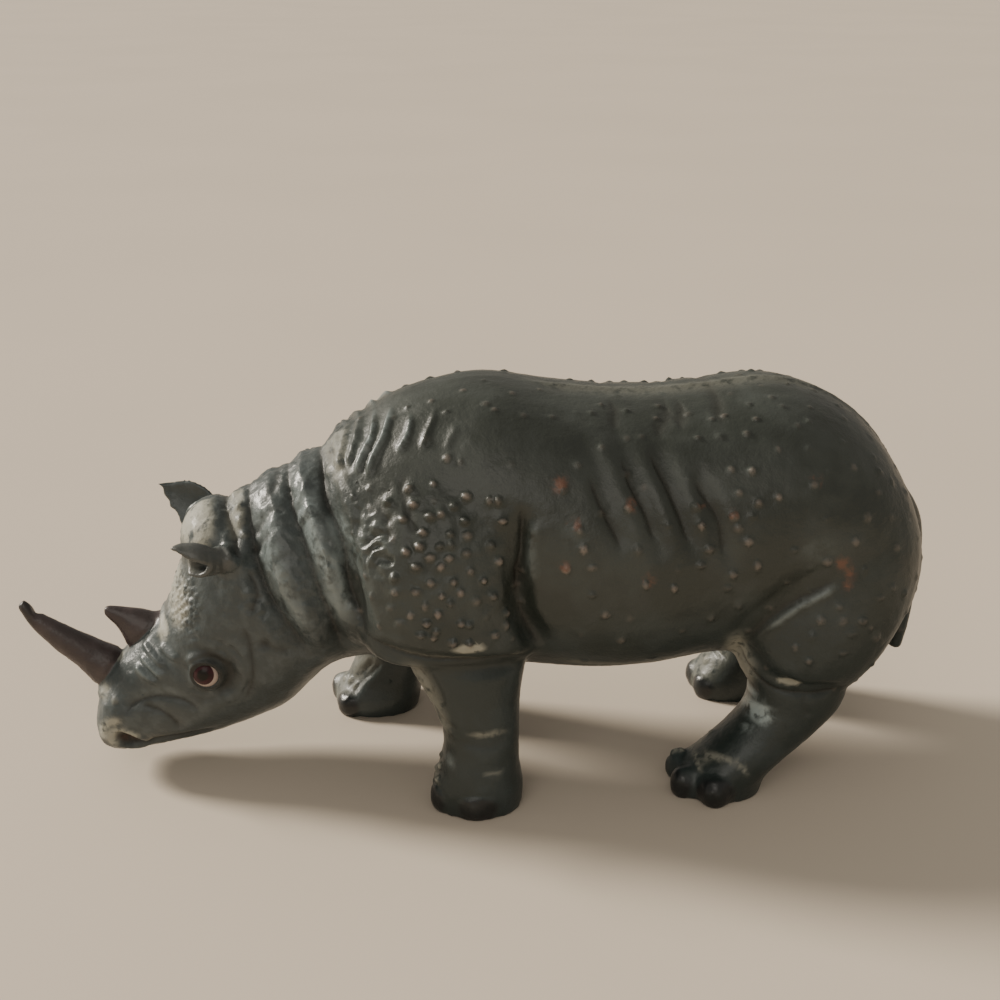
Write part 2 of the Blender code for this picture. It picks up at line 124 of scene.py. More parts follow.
# Raised wrinkles: height and half width of the crest, then half width and strength of the painted highlight
# along it, or 0
RIDGES = (
    (((-13.8, 63.8), (-15.3, 60.6), (-17.3, 57.4), (-18.2, 55.0)), 0.85, 0.3, 0.35, 0.5),
    (((-16.6, 62.6), (-17.2, 60.0), (-18.8, 57.6), (-20.2, 55.0)), 0.8, 0.3, 0.35, 0.5),
    (((-18.8, 61.4), (-20.0, 58.6), (-21.3, 55.9)), 0.7, 0.3, 0.0, 0.0),
    (((-20.8, 60.6), (-21.9, 57.8), (-22.6, 55.0)), 0.65, 0.3, 0.0, 0.0),
    (((-11.0, 63.6), (-11.8, 61.2), (-13.6, 58.8)), 0.5, 0.3, 0.3, 0.4),
    (((-7.0, 64.4), (-8.5, 62.2), (-10.0, 59.4)), 0.4, 0.3, 0.0, 0.0),
    (((-4.0, 63.0), (-5.4, 61.1), (-6.2, 59.6)), 0.25, 0.35, 0.0, 0.0),
    (((-57.4, 21.0), (-55.2, 19.6), (-53.2, 18.8)), 0.75, 0.42, 0.6, 0.2),
    (((-56.4, 22.6), (-54.2, 21.2), (-52.2, 20.0)), 0.75, 0.42, 0.6, 0.2),
    (((-56.0, 24.2), (-53.8, 22.8), (-52.0, 21.8)), 0.65, 0.42, 0.0, 0.0),
    (((-53.0, 24.9), (-51.1, 23.9), (-49.3, 23.4)), 0.55, 0.5, 0.0, 0.0),
    (((-48.4, 22.8), (-47.2, 24.4), (-45.0, 25.3), (-42.8, 25.0), (-41.5, 23.2)), 0.7, 0.5, 0.0, 0.0),
    (((42.0, 25.6), (43.9, 30.2), (48.0, 34.2), (51.7, 36.6), (55.0, 38.6)), 0.4, 0.5, 0.0, 0.0),
    (((7.0, 51.0), (6.5, 46.0), (6.4, 40.4)), 0.6, 0.7, 0.8, 0.2),
    (((-30.6, 48.6), (-28.9, 50.6), (-27.6, 53.4)), 0.5, 0.4, 0.0, 0.0),
    (((-30.0, 46.4), (-28.2, 48.6), (-27.0, 50.6)), 0.45, 0.4, 0.0, 0.0),
    (((-30.4, 50.8), (-29.2, 53.0), (-28.6, 55.0)), 0.4, 0.4, 0.0, 0.0),
    (((-24.6, 53.2), (-24.0, 55.6), (-23.8, 57.6)), 0.45, 0.4, 0.0, 0.0),
    (((-22.8, 55.2), (-22.9, 57.6), (-23.0, 59.2)), 0.4, 0.35, 0.0, 0.0),
)
# Wrinkles of the legs and feet: points (x, z), the side of the body or 0 for both, depth, half width
LEG_CREASES = (
    (((-7.6, 13.2), (-4.0, 13.5), (-0.6, 12.9), (2.6, 13.4)), -1, 0.14, 0.5),
    (((-19.4, 30.8), (-14.0, 28.0), (-7.8, 27.0), (1.5, 26.4), (7.4, 26.2)), 0, 0.7, 0.9),
    (((-12.0, 26.4), (-9.6, 23.4), (-8.6, 19.6)), -1, 0.45, 0.4),
    (((-10.2, 26.2), (-8.0, 22.6), (-7.2, 18.2)), -1, 0.35, 0.4),
    (((-9.6, 19.2), (-7.4, 16.6), (-5.2, 15.4)), -1, 0.4, 0.4),
    (((-10.0, 16.4), (-7.8, 14.2), (-5.8, 13.4)), -1, 0.35, 0.4),
    (((51.0, 19.0), (51.0, 16.8), (51.8, 14.6)), -1, 0.2, 0.4),
    (((40.0, 18.6), (42.4, 17.8), (44.4, 18.6)), -1, 0.3, 0.4),
    (((36.4, 13.4), (38.8, 12.6), (40.8, 13.2)), -1, 0.35, 0.4),
    (((-24.4, 2.4), (-22.4, 6.0), (-20.0, 9.0), (-17.6, 12.0)), 1, 0.6, 0.4),
    (((-23.0, 3.4), (-20.8, 6.7), (-18.5, 9.1), (-16.6, 11.8)), 1, 0.5, 0.4),
    (((-25.6, 5.0), (-23.4, 8.2), (-21.0, 10.8)), 1, 0.4, 0.35),
    (((39.8, 9.6), (43.4, 9.6), (47.0, 8.4)), 1, 0.4, 0.4),
    (((41.6, 14.8), (45.0, 14.2), (48.4, 12.8)), 1, 0.35, 0.4),
)
# Single bumps: the place, radius, height and how pale they are, by worn paint and painted highlight
BUMPS = (
    ((-39.8, -1.0, 48.6), 1.2, 0.4, 0.5),
    ((-39.0, -4.9, 48.0), 1.1, 0.45, 0.5),
    ((-38.7, -7.0, 46.2), 1.2, 0.45, 0.4),
    ((-37.9, -8.4, 44.2), 1.0, 0.4, 0.3),
    ((-8.9, -19.6, 7.4), 0.9, 0.5, 0.9),
    ((-8.8, -20.4, 5.6), 0.8, 0.5, 0.9),
    ((-8.4, -18.2, 8.6), 0.8, 0.4, 0.8),
    ((-9.2, -17.6, 6.4), 1.0, 0.5, 0.8),
    ((-24.9, 17.0, 6.6), 1.1, 0.5, 0.8),
    ((-24.0, 14.6, 7.0), 1.0, 0.5, 0.8),
    ((-22.4, 12.4, 6.2), 0.9, 0.4, 0.6),
    ((31.0, -13.2, 6.2), 1.2, 0.4, 0.8),
    ((33.0, -14.2, 7.6), 1.0, 0.4, 0.7),
    ((35.6, -13.4, 10.6), 1.0, 0.3, 0.8),
    ((42.6, 15.6, 7.4), 1.3, 0.5, 0.7),
    ((-62.9, -3.6, 14.6), 1.0, 0.35, 0.4),
    ((-63.8, -1.2, 13.2), 1.0, 0.35, 0.4),
    ((-60.9, -6.9, 14.9), 1.0, 0.3, 0.3),
)
# Where the paint is thin and pale, and where pale paint stands in for the highlight on lit leg edges: lines
# (x, z) with a half width, a strength and a side, 0 for both
PALE_WEAR_AND_HIGHLIGHT_LINES = (
    (
        ((-13.6, 28.8), (-11.8, 25.6), (-9.8, 21.8),
         (-8.6, 18.4), (-7.8, 15.0), (-7.6, 11.0)),
        1.7, 0.62, -1,
    ),
    (((-9.4, 9.0), (-9.2, 6.6), (-8.8, 4.4)), 0.9, 1.0, -1),
    (
        ((38.6, 30.6), (40.8, 25.0), (41.7, 21.4), (41.3, 17.6),
         (39.0, 14.4), (35.6, 11.4), (29.6, 7.6)),
        1.7, 1.3, -1,
    ),
    (((42.2, 18.0), (40.2, 13.9), (36.6, 10.7), (32.0, 7.9), (28.0, 6.0)), 1.4, 0.9, -1),
    (((33.4, 8.8), (34.4, 7.0), (34.8, 4.6)), 0.35, 0.9, -1),
    (((35.0, 5.6), (36.6, 7.0), (39.0, 7.4), (41.2, 6.6), (42.2, 4.4)), 0.35, 0.8, -1),
    (
        ((-26.4, -1.0), (-25.3, 2.0), (-23.5, 5.3),
         (-21.1, 8.8), (-18.8, 11.6), (-16.6, 15.0)),
        1.9, 0.32, 1,
    ),
    (((40.0, -1.0), (41.0, 2.0), (43.0, 5.6), (45.0, 8.6), (47.4, 12.4)), 1.9, 0.3, 1),
    (((-18.6, 30.8), (-14.0, 29.9), (-7.8, 29.1), (1.5, 28.5), (7.6, 28.3)), 0.3, 0.5, 0),
    (((-63.3, 7.2), (-63.4, 9.6), (-62.0, 11.2), (-59.8, 11.8)), 0.8, 1.3, 0),
    (((-59.6, 7.3), (-55.9, 7.6), (-52.6, 8.0)), 0.35, 0.8, 0),
    (((-62.2, 16.8), (-63.8, 14.0)), 0.8, 0.8, 0),
    (((10.0, 24.8), (20.0, 23.4), (30.0, 23.2), (37.0, 24.6)), 0.9, 0.4, 0),
)
# Pale scars and worn places, and painted highlights on the sunlit top of the head, forehead and neck, as
# (x, z), half sizes and strength, on the left side
PALE_WEAR_AND_HIGHLIGHT_SPOTS = (
    (-0.4, 15.1, 3.2, 0.7, 0.6),
    (0.5, 8.1, 1.9, 0.35, 0.45),
    (48.2, 21.4, 1.9, 0.7, 1.6),
    (-3.4, 30.9, 2.6, 0.8, 1.6),
    (-49.8, 33.0, 2.4, 4.8, 1.0),
    (-46.2, 44.8, 3.6, 4.4, 1.3),
    (-39.6, 47.4, 1.6, 4.0, 0.8),
    (-60.6, 21.0, 1.2, 1.0, 0.6),
    (-52.3, 27.2, 1.0, 1.9, 1.2),
    (-23.2, 57.6, 2.6, 4.4, 0.5),
)
# Painted sheen: faintly blue highlights and reflections painted on glossy places, as (x, z), half sizes and
# strength, on the left side
PAINTED_SHEEN_SPOTS = (
    (44.4, 14.8, 2.7, 2.2, 1.8),
    (42.8, 17.4, 1.8, 1.0, 1.2),
    (42.4, 12.0, 0.9, 0.7, 0.8),
    (51.0, 44.6, 4.5, 2.6, 0.1),
    (12.6, 49.0, 3.0, 4.0, 0.1),
    (-17.5, 46.8, 4.4, 5.4, 0.15),
    (-6.4, 9.4, 1.2, 1.4, 0.4),
)
# Painted highlights along lines (x, z) that catch the light: half width and strength
PAINTED_SHEEN_LINES = (
    (((-35.2, 51.0), (-34.6, 45.6), (-33.2, 40.0), (-31.0, 34.6), (-28.0, 29.0)), 2.3, 0.42),
    (((-29.0, 54.0), (-28.0, 48.6), (-26.0, 42.4), (-24.4, 36.6), (-22.6, 30.4)), 2.5, 0.5),
    (((-24.0, 50.0), (-22.2, 45.0), (-21.0, 40.0)), 1.7, 0.55),
    (((-24.6, 45.0), (-23.4, 41.0), (-22.6, 37.0), (-21.6, 33.0)), 1.2, 0.5),
    (((43.9, 30.2), (48.0, 34.2), (51.7, 36.6), (55.0, 38.6)), 0.5, 0.4),
    (((-58.8, 15.4), (-55.6, 17.2), (-52.0, 17.8), (-48.8, 17.2)), 0.9, 0.12),
)

# Warts that are listed one by one on the body, by rows of (x, z)
WARTS_ON_SHOULDER = (
    (-15.7, 53.1), (-9.3, 51.7), (-7.6, 52.0), (-13.3, 51.2), (-12.5, 55.1), (-11.8, 53.1),
    (-5.2, 53.0), (-3.8, 54.3), (-0.4, 53.8), (1.0, 53.6), (-3.3, 51.0), (2.6, 50.8),
    (-10.5, 49.6), (-6.4, 49.4), (-2.9, 49.0), (0.7, 47.4), (-11.0, 47.6), (-8.0, 47.8),
    (-5.4, 47.9), (-3.2, 46.5), (-6.0, 46.0), (-9.7, 46.0), (-13.0, 46.8), (-11.6, 44.6),
    (-7.9, 44.7), (-2.6, 43.7), (-0.6, 42.3), (-5.3, 42.4), (-4.2, 40.8), (-9.7, 42.2),
    (-11.8, 41.0), (-7.9, 40.4), (0.9, 39.7), (-1.7, 39.2), (-10.6, 38.8), (-6.2, 39.2),
    (-12.6, 37.2), (-8.7, 37.3), (-10.4, 35.8), (-8.9, 34.4), (3.0, 36.4), (2.9, 34.6),
    (1.2, 33.2), (-4.3, 35.7), (-2.9, 35.4), (1.9, 44.8), (-11.2, 33.0), (-9.2, 32.8),
    (-6.3, 59.2), (-8.7, 55.8), (-15.0, 40.5), (-15.1, 43.0), (-3.0, 31.4), (-6.0, 31.6),
)
WARTS_ON_BACK = (
    (-12.0, 64.6), (-8.2, 65.6), (-6.2, 64.8), (-0.1, 65.9), (1.3, 65.3), (5.3, 66.6),
    (-3.1, 66.9), (18.5, 60.3), (24.8, 61.3), (32.7, 61.1), (36.5, 61.2), (40.4, 61.5),
    (17.6, 63.9), (19.6, 64.4), (23.4, 63.8), (28.0, 64.0), (27.0, 63.0), (32.4, 63.5),
    (35.6, 63.0), (37.6, 63.4), (42.0, 64.6), (42.4, 63.2), (46.3, 65.3), (48.0, 64.4),
    (14.3, 58.3), (51.5, 62.6), (10.8, 64.0),
)
WARTS_ON_FLANK = (
    (10.9, 55.2), (21.8, 52.4), (21.9, 56.9), (23.0, 46.4), (15.0, 38.4), (11.1, 43.5),
    (13.7, 46.6), (15.2, 43.9), (20.8, 29.7), (17.4, 34.9), (28.8, 39.3), (24.2, 40.8),
    (32.4, 52.3), (32.4, 49.5), (34.3, 45.8), (32.9, 43.5), (38.2, 54.0), (37.3, 50.6),
    (37.9, 49.0), (40.4, 46.8), (41.8, 42.9), (38.0, 41.6), (37.4, 38.5), (35.2, 33.1),
    (39.5, 35.1), (37.3, 57.2), (40.2, 57.0), (45.0, 53.3), (40.9, 52.5), (13.1, 49.6),
)
WARTS_ON_RUMP = (
    (59.5, 49.3), (57.5, 45.7), (50.9, 54.9), (55.1, 35.6), (51.7, 33.3), (55.6, 33.2),
    (59.1, 33.0), (50.3, 30.6), (57.5, 31.0), (56.3, 27.0), (49.9, 25.5), (62.2, 36.5),
    (62.0, 28.7), (66.7, 36.1), (62.8, 54.9), (53.0, 42.7),
)
# Each group's warts: places, radius, height and how far their tops are rubbed
WARTS = (
    (WARTS_ON_SHOULDER, 1.0, 0.72, 0.75),
    (WARTS_ON_BACK, 0.85, 0.34, 0.4),
    (WARTS_ON_FLANK, 1.05, 0.48, 0.7),
    (WARTS_ON_RUMP, 1.1, 0.36, 0.4),
)
WART_SEED = 7
# The least distance of a scattered wart from those listed
WART_GAP = 2.0
# Where scattered warts stand: from and to x, from and to z, how far out, and how far apart
WART_REGIONS = (
    (-21, 5, 31, 54, 12, 2.6),
    (-21, 5, 58, 90, 0, 6.0),
    (5, 44, 24, 90, 0, 7.0),
    (44, 90, 19, 90, 0, 4.2),
)
WART_CANDIDATES = 9000

# Where the skin is coarser, seen from the side: shoulder and forehead as (x, z) and half
# sizes, and the top of the head as a middle and radius
COARSE_SHOULDER = (-17.3, 46.6, 5.6, 7.6)
COARSE_FOREHEAD = (-48.6, 32.5, 5.0, 8.0)
COARSE_POLL = ((-45.0, 0.0, 45.0), 10)

# Where the paint is rubbed through to orange, as (x, z) and radius, on the left side
RUST_SPOTS = (
    (10.9, 55.5, 1.5), (11.4, 43.5, 1.0), (21.8, 52.4, 1.1), (32.6, 52.2, 0.8), (55.0, 42.1, 1.4),
    (56.5, 40.4, 1.2), (56.2, 38.2, 0.9), (24.2, 40.8, 1.0), (50.9, 54.9, 1.0), (13.1, 49.9, 1.0),
    (37.5, 50.4, 0.9),
)

# The depth given to points that lie outside the paint of the horns and nails
OUTSIDE = -9.0

# Centre lines of the horns: (x, z) and the painted radius, from base to tip
HORNS = (
    (
        (-61.6, 17.0, 4.2), (-63.2, 18.6, 3.9), (-66.4, 21.2, 3.3), (-71.2, 24.4, 2.9),
        (-76.6, 30.8, 2.6),
    ),
    ((-56.0, 24.2, 3.9), (-57.6, 25.6, 3.5), (-59.8, 27.0, 2.8), (-62.8, 28.9, 2.6)),
)
HORN_BASES = (
    ((-62.6, 17.9), (-0.79, 0.61)),
    ((-56.4, 24.5), (-0.69, 0.73)),
)
# A notch below the tip of the front horn, as (x, z)
HORN_NOTCH = ((-73.4, 28.2), (-73.9, 30.6))

# The seam along the back: its half width, and the half width and strength of the wear beside it
SPINE_HALF_WIDTH = 0.9
SPINE_WEAR = (2.6, 0.3)

# The eye and the nostril on the left side, in millimetres
EYE = (-45.1, -11.3, 21.5)
EYE_RADII = (2.3, 1.8, 2.3)
EYELID_RADIUS = 2.55
EYELID_GROOVE = 2.35
EYE_RINGS = (5.4, 6.8)
NOSTRIL = (-59.2, -7.6, 7.7)
NOSTRIL_RADII = (1.4, 2.2, 0.9)
NOSTRIL_DEPTH = 1.5

# Feet: the middle of the sole (x, y) and, for each toe, its direction in degrees from +X, the half
# width and half height of its nail, and how far the toe bulges
FEET = {
    "left_fore": (
        -1.9, -18.1, ((203.0, 2.2, 1.9, 0.45), (268.0, 3.1, 1.9, 0.3), (136.0, 2.2, 1.6, 0.3)),
    ),
    "right_fore": (
        -17.9, 17.9, ((157.0, 2.3, 1.8, 0.4), (224.0, 2.5, 2.0, 0.5), (92.0, 2.7, 1.8, 0.4)),
    ),
    "left_hind": (
        38.3, -16.9, ((150.0, 1.7, 1.0, 0.1), (202.0, 2.6, 2.2, 0.1), (258.0, 3.1, 2.4, 0.15)),
    ),
    "right_hind": (
        48.4, 17.7, ((102.0, 2.8, 2.1, 0.5), (158.0, 2.5, 2.0, 0.5), (212.0, 2.4, 1.9, 0.5)),
    ),
}
NAIL_HEIGHT = 2.3
NAIL_EDGE = 0.11
TOE_RADII = (4.2, 4.4)

# The near ear is a tube: a row is a cross-section, x, the middle (y, z), the half depth and half height
EAR_SECTIONS = (
    (-36.5, -6.0, 39.6, 1.4, 1.4),
    (-38.5, -8.4, 40.0, 1.7, 1.5),
    (-40.2, -10.2, 40.6, 2.0, 1.7),
    (-41.9, -11.6, 41.15, 2.2, 1.95),
    (-43.2, -12.6, 41.55, 2.4, 2.3),
    (-44.4, -13.1, 41.95, 2.6, 2.7),
    (-45.7, -13.2, 42.2, 2.5, 2.85),
    (-46.8, -13.2, 42.25, 2.2, 2.7),
    (-47.6, -13.3, 43.2, 1.9, 1.75),
    (-49.0, -13.9, 44.3, 0.7, 0.5),
)
EAR_SEAM = 8
# How far forward the near ear's front edge lies, round from its seam over the top, in shares of a turn
EAR_FRONT = (
    (0.0, -42.9), (0.017, -44.3), (0.033, -46.2), (0.056, -47.6), (0.10, -48.7), (0.19, -49.2),
    (0.28, -48.6), (0.37, -47.6), (0.45, -47.0), (0.59, -46.9), (0.73, -46.9), (0.78, -46.2),
    (0.81, -45.0), (0.85, -44.2), (0.92, -43.4), (1.0, -42.9),
)
# The far ear is a cupped leaf: rows from the head to the tip of its front edge (x, z), its back edge
# (x, z) and its depth behind the middle
FAR_EAR = (
    (-49.2, 37.6, -41.4, 41.4, 8.2),
    (-50.2, 39.7, -43.6, 44.1, 9.8),
    (-50.8, 41.3, -45.6, 45.8, 10.6),
    (-51.8, 42.0, -47.6, 46.7, 11.3),
    (-52.6, 43.7, -48.9, 46.8, 11.8),
    (-53.3, 45.4, -51.2, 46.5, 12.0),
    (-53.8, 46.3, -53.5, 46.4, 12.0),
)
FAR_EAR_CUP = 0.7
# Faces round and along each ear
NEAR_EAR_GRID = (72, 26)
FAR_EAR_GRID = (24, 30)
# Round masses that take the plain ears away from the skin, and those at the new ears' roots
EAR_ROOMS = (
    ((-46.6, -14.2, 43.4), (7.0, 4.8, 5.2)),
    ((-49.0, 12.8, 43.6), (7.8, 5.4, 5.6)),
)
EAR_ROOTS = (
    ((-41.0, -11.0, 40.9), (3.2, 2.0, 1.9)),
    ((-45.4, 8.6, 41.0), (4.0, 1.6, 3.4)),
)
# The paler inner wall of the near ear, and how pale it and how rubbed the ear is
EAR_INSIDE = ((-46.2, -12.6, 41.8), (2.0, 2.0, 1.9))
EAR_PALE = 0.35
EAR_RUB = 0.16
# Where the skin is kept crisp: round the ears
EAR_KEPT = (
    ((-45.5, -13.5, 42.0), (6.0, 3.6, 4.5)),
    ((-49.5, 11.0, 43.0), (6.0, 4.0, 5.5)),
)

# Where one paint gives way to the next, in metres: head to trunk and horn tip to horn along x, legs
# to trunk along z
HEAD_TO_TRUNK = (-0.029, -0.015)
TIP_TO_HORN = (-0.0748, -0.0736)
LEGS_TO_TRUNK = (0.022, 0.042)
# The eye's paint in metres: how far the iris lies ahead and above, and where pupil, iris and white end
IRIS_AHEAD = 0.00052
IRIS_ABOVE = 0.00042
PUPIL_EDGE = (0.0007, 0.0011)
IRIS_EDGE = (0.00172, 0.00188)
WHITE_EDGE = (0.0022, 0.0024)

# The camera's place, its tilt from straight down and its turn, and its lens on a 36 mm sensor
CAMERA_PLACE = (-0.01745, -0.24040, 0.1352)
CAMERA_TURN = (math.radians(69.647), 0.0, math.radians(-5.0))
CAMERA_LENS = 55.8

# The lights: places in metres, all turned to one point, and colours
WINDOW_PLACE = (-0.74, 0.36, 0.47)
WINDOW_COLOUR = (1.0, 0.92, 0.80)
ROOM_PLACE = (-0.25, -0.75, 0.55)
ROOM_COLOUR = (1.0, 0.95, 0.86)
LIT_POINT = (0.0, 0.0, 0.03)
SKY_COLOUR = (1.0, 0.935, 0.83)


def flowing(line, between=5):
    """More points between those of a line, on Catmull-Rom curves through them."""
    given = np.array(line, float)
    knots = np.vstack([2 * given[0] - given[1], given, 2 * given[-1] - given[-2]])
    made = []
    for i in range(1, len(knots) - 2):
        p0, p1, p2, p3 = knots[i - 1 : i + 3]
        for t in np.arange(between) / between:
            bend = t * t * (p0 - 2.5 * p1 + 2 * p2 - 0.5 * p3)
            made.append(p1 + 0.5 * t * (p2 - p0) + bend + t**3 * (1.5 * (p1 - p2) + 0.5 * (p3 - p0)))
    made.append(given[-1])
    return np.array(made)


def along_line(flat, line):
    """Distance of flat points from a line, more than 0 on its left, and how far along each lies."""
    lengths = np.linalg.norm(np.diff(line, axis=0), axis=1)
    starts = np.concatenate([[0], np.cumsum(lengths)])
    best = np.full(len(flat), np.inf)
    side = np.ones(len(flat))
    place = np.zeros(len(flat))
    for k, length in enumerate(lengths):
        step = (line[k + 1] - line[k]) / length
        offset = flat - line[k]
        run = np.clip(offset @ step, 0, length)
        away = np.linalg.norm(offset - run[:, None] * step, axis=1)
        nearer = away < best
        best[nearer] = away[nearer]
        side[nearer] = np.sign(offset[nearer] @ np.array((-step[1], step[0])))
        place[nearer] = (starts[k] + run[nearer]) / starts[-1]
    return best * side, place


def smooth_step(value, low, high):
    share = np.clip((value - low) / (high - low), 0, 1)
    return share * share * (3 - 2 * share)


def plateau(value, rise, fall):
    """One between two slopes, each given by where it starts and ends."""
    return smooth_step(value, *rise) * (1 - smooth_step(value, *fall))


def hill(value, width):
    """One at zero, falling away on both sides as a bell of a width."""
    return np.exp(-((value / width) ** 2))


def spread(share):
    """A round hill of one at zero, down to zero at one."""
    return (1 - np.clip(share, 0, 1) ** 2) ** 2


class Surface:
    """The points of a mesh in millimetres, with normals, and what is raised and painted on them."""

    def __init__(self, mesh):
        self.mesh = mesh
        count = len(mesh.vertices)
        points = np.empty(count * 3, np.float32)
        mesh.vertices.foreach_get("co", points)
        self.points = points.reshape(-1, 3).astype(float) / MM
        normals = np.empty(count * 3, np.float32)
        mesh.vertex_normals.foreach_get("vector", normals)
        self.normals = normals.reshape(-1, 3).astype(float)
        self.side = self.points[:, [0, 2]]
        self.across = self.points[:, 1]
        self.off_median = 0.3 + 0.7 * smooth_step(np.abs(self.across), 0, 7)
        self.height = np.zeros(count)
        self.paint = {}

    def layer(self, name):
        if name not in self.paint:
            self.paint[name] = np.zeros(len(self.points))
        return self.paint[name]

    def raise_layer(self, name, values, near=slice(None)):
        """Bring a layer up to some values where it is lower."""
        layer = self.layer(name)
        layer[near] = np.maximum(layer[near], values)

    def in_radii(self, centre, radii):
        """How many radii away from a centre each point lies."""
        return np.linalg.norm((self.points - centre) / radii, axis=1)

    def beside(self, x, z, half_length, half_height):
        """The same, seen from the side."""
        return np.hypot((self.side[:, 0] - x) / half_length, (self.side[:, 1] - z) / half_height)

    def near_line(self, line, reach, sign=0):
        """The points near a line seen from the side, their distance, and a share that fades at its ends."""
        line = flowing(line)
        low = line.min(axis=0) - reach
        high = line.max(axis=0) + reach
        inside = np.all((self.side > low) & (self.side < high), axis=1)
        if sign:
            inside &= self.across * sign > 0
        near = np.where(inside)[0]
        away, place = along_line(self.side[near], line)
        ends = smooth_step(np.minimum(place, 1 - place), 0, 0.2)
        return near, away, ends

    def fold(self, line, depth, ahead, behind):
        """A sharp valley between round shoulders, darkened at its bottom with painted shade."""
        near, away, ends = self.near_line(line, 5 * max(ahead, behind))
        width = np.where(away > 0, behind, ahead)
        self.height[near] -= depth * ends * np.exp(-np.abs(away) / width) * self.off_median[near]
        self.layer("painted_shade")[near] += ends * np.exp(-np.abs(away) / 0.4)

    def wrinkle(self, line, depth, half_width, sign=0, painted_shade=0.5):
        """A narrow groove, or a crest where the depth is less than zero."""
        near, away, ends = self.near_line(line, 3 * half_width, sign)
        share = ends * np.exp(-0.5 * (away / half_width) ** 2)
        self.height[near] -= depth * share * self.off_median[near]
        # Painted shade darkens the groove by the given share; crests get none.
        self.layer("painted_shade")[near] += painted_shade * share

    def tint(self, name, line, half_width, strength, sign=0):
        near, away, ends = self.near_line(line, 1.5 * half_width, sign)
        self.raise_layer(name, strength * ends * spread(np.abs(away) / (1.4 * half_width)), near)

    def bump(self, centre, radii):
        """The points within radii of a centre, one or three, and a round hill's height there."""
        near = np.where(np.all(np.abs(self.points - centre) < radii, axis=1))[0]
        return near, spread(np.linalg.norm((self.points[near] - centre) / radii, axis=1))

    def at_side(self, x, z, sign):
        """The outermost point of the left (-1) or right (1) side at a place seen from the side."""
        near = np.where(np.all(np.abs(self.side - (x, z)) < 0.6, axis=1) & (self.across * sign > 0))[0]
        if not len(near):
            return None
        return self.points[near[np.argmax(self.across[near] * sign)]]

    def lumps(self, share, size, sharp=False):
        """Smooth lumps of about a size, or a net of sharp crests, where a share is more than zero."""
        made = np.zeros(len(self.points))
        for i in np.where(share > 0.02)[0]:
            made[i] = noise.noise(Vector(self.points[i] / size))
        if sharp:
            made = 0.5 - 2 * np.abs(made)
        return made * share

    def pebbles(self, share, size):
        """Round pebbles of about a size, where a share is more than zero."""
        made = np.zeros(len(self.points))
        for i in np.where(share > 0.02)[0]:
            made[i] = 0.5 - noise.voronoi(Vector(self.points[i] / size))[0][0]
        return made * share

    def write(self):
        moved = self.points + self.normals * self.height[:, None]
        moved[:, 2] = np.maximum(moved[:, 2], 0)
        self.mesh.vertices.foreach_set("co", (moved * MM).astype(np.float32).ravel())
        for name, values in self.paint.items():
            attribute = self.mesh.attributes.new(name, "FLOAT", "POINT")
            attribute.data.foreach_set("value", values.astype(np.float32))
        self.mesh.update()


def carve_creases(surface, folds_share, wrinkles_share):
    for line, depth, ahead, behind, _ in FOLDS:
        surface.fold(line, depth * folds_share, ahead, behind)
    for line, depth, half_width in WRINKLES:
        surface.wrinkle(line, depth * wrinkles_share, half_width)
    for line, height, half_width, painted_sheen_half_width, painted_sheen in RIDGES:
        surface.wrinkle(line, -height * wrinkles_share, half_width, painted_shade=0)
        if painted_sheen:
            surface.tint("painted_sheen", line, painted_sheen_half_width, painted_sheen)
    for line, sign, depth, half_width in LEG_CREASES:
        surface.wrinkle(line, depth * wrinkles_share, half_width, sign, painted_shade=0.3)
    for place, radius, height, paleness in BUMPS:
        nearest = np.argmin(np.linalg.norm(surface.points - place, axis=1))
        near, share = surface.bump(surface.points[nearest], radius)
        surface.height[near] += height * wrinkles_share * share
        surface.raise_layer("pale_wear_and_highlight", paleness * smooth_step(share, 0.1, 0.6), near)


def wart_spacing(place):
    """How far apart the scattered warts stand, in millimetres, or 0 where there are none."""
    x, y, z = place
    for from_x, to_x, from_z, to_z, out, gap in WART_REGIONS:
        if from_x <= x < to_x and from_z < z < to_z and abs(y) >= out:
            return gap
    return 0


def scatter_places(surface, random):
    """Places spread over the skin, as far apart as the warts stand there."""
    kept = np.empty((0, 3))
    gaps = np.empty(0)
    for index in random.choice(len(surface.points), WART_CANDIDATES, replace=False):
        place = surface.points[index]
        gap = wart_spacing(place)
        if gap and (not len(kept) or np.all(np.linalg.norm(kept - place, axis=1) > (gaps + gap) / 2)):
            kept = np.vstack([kept, place])
            gaps = np.append(gaps, gap)
    return kept


def raise_warts(surface, height):
    random = np.random.default_rng(WART_SEED)
    warts = []
    for places, radius, rise, worn in WARTS:
        for x, z in places:
            for sign in (-1, 1):
                shift = random.normal(0, 0.5, 2) * (sign > 0)
                place = surface.at_side(x + shift[0], z + shift[1], sign)
                size = radius * random.uniform(0.75, 1.2, 3)
                tall = rise * random.uniform(0.65, 1.2)
                rubbed = worn * random.uniform(0.0, 1.3)
                if place is not None:
                    warts.append((place, size, tall, rubbed))
    taken = np.array([place for place, _, _, _ in warts])
    for place in scatter_places(surface, random):
        size = random.uniform(0.6, 1.1, 3)
        tall = random.uniform(0.10, 0.32)
        rubbed = random.uniform(-0.2, 0.35)
        if np.linalg.norm(taken - place, axis=1).min() > WART_GAP:
            warts.append((place, size, tall, rubbed))
    for place, radii, rise, worn in warts:
        near, share = surface.bump(place, radii)
        surface.height[near] += rise * height * share
        surface.raise_layer("rub", worn * smooth_step(share, 0.3, 0.9), near)


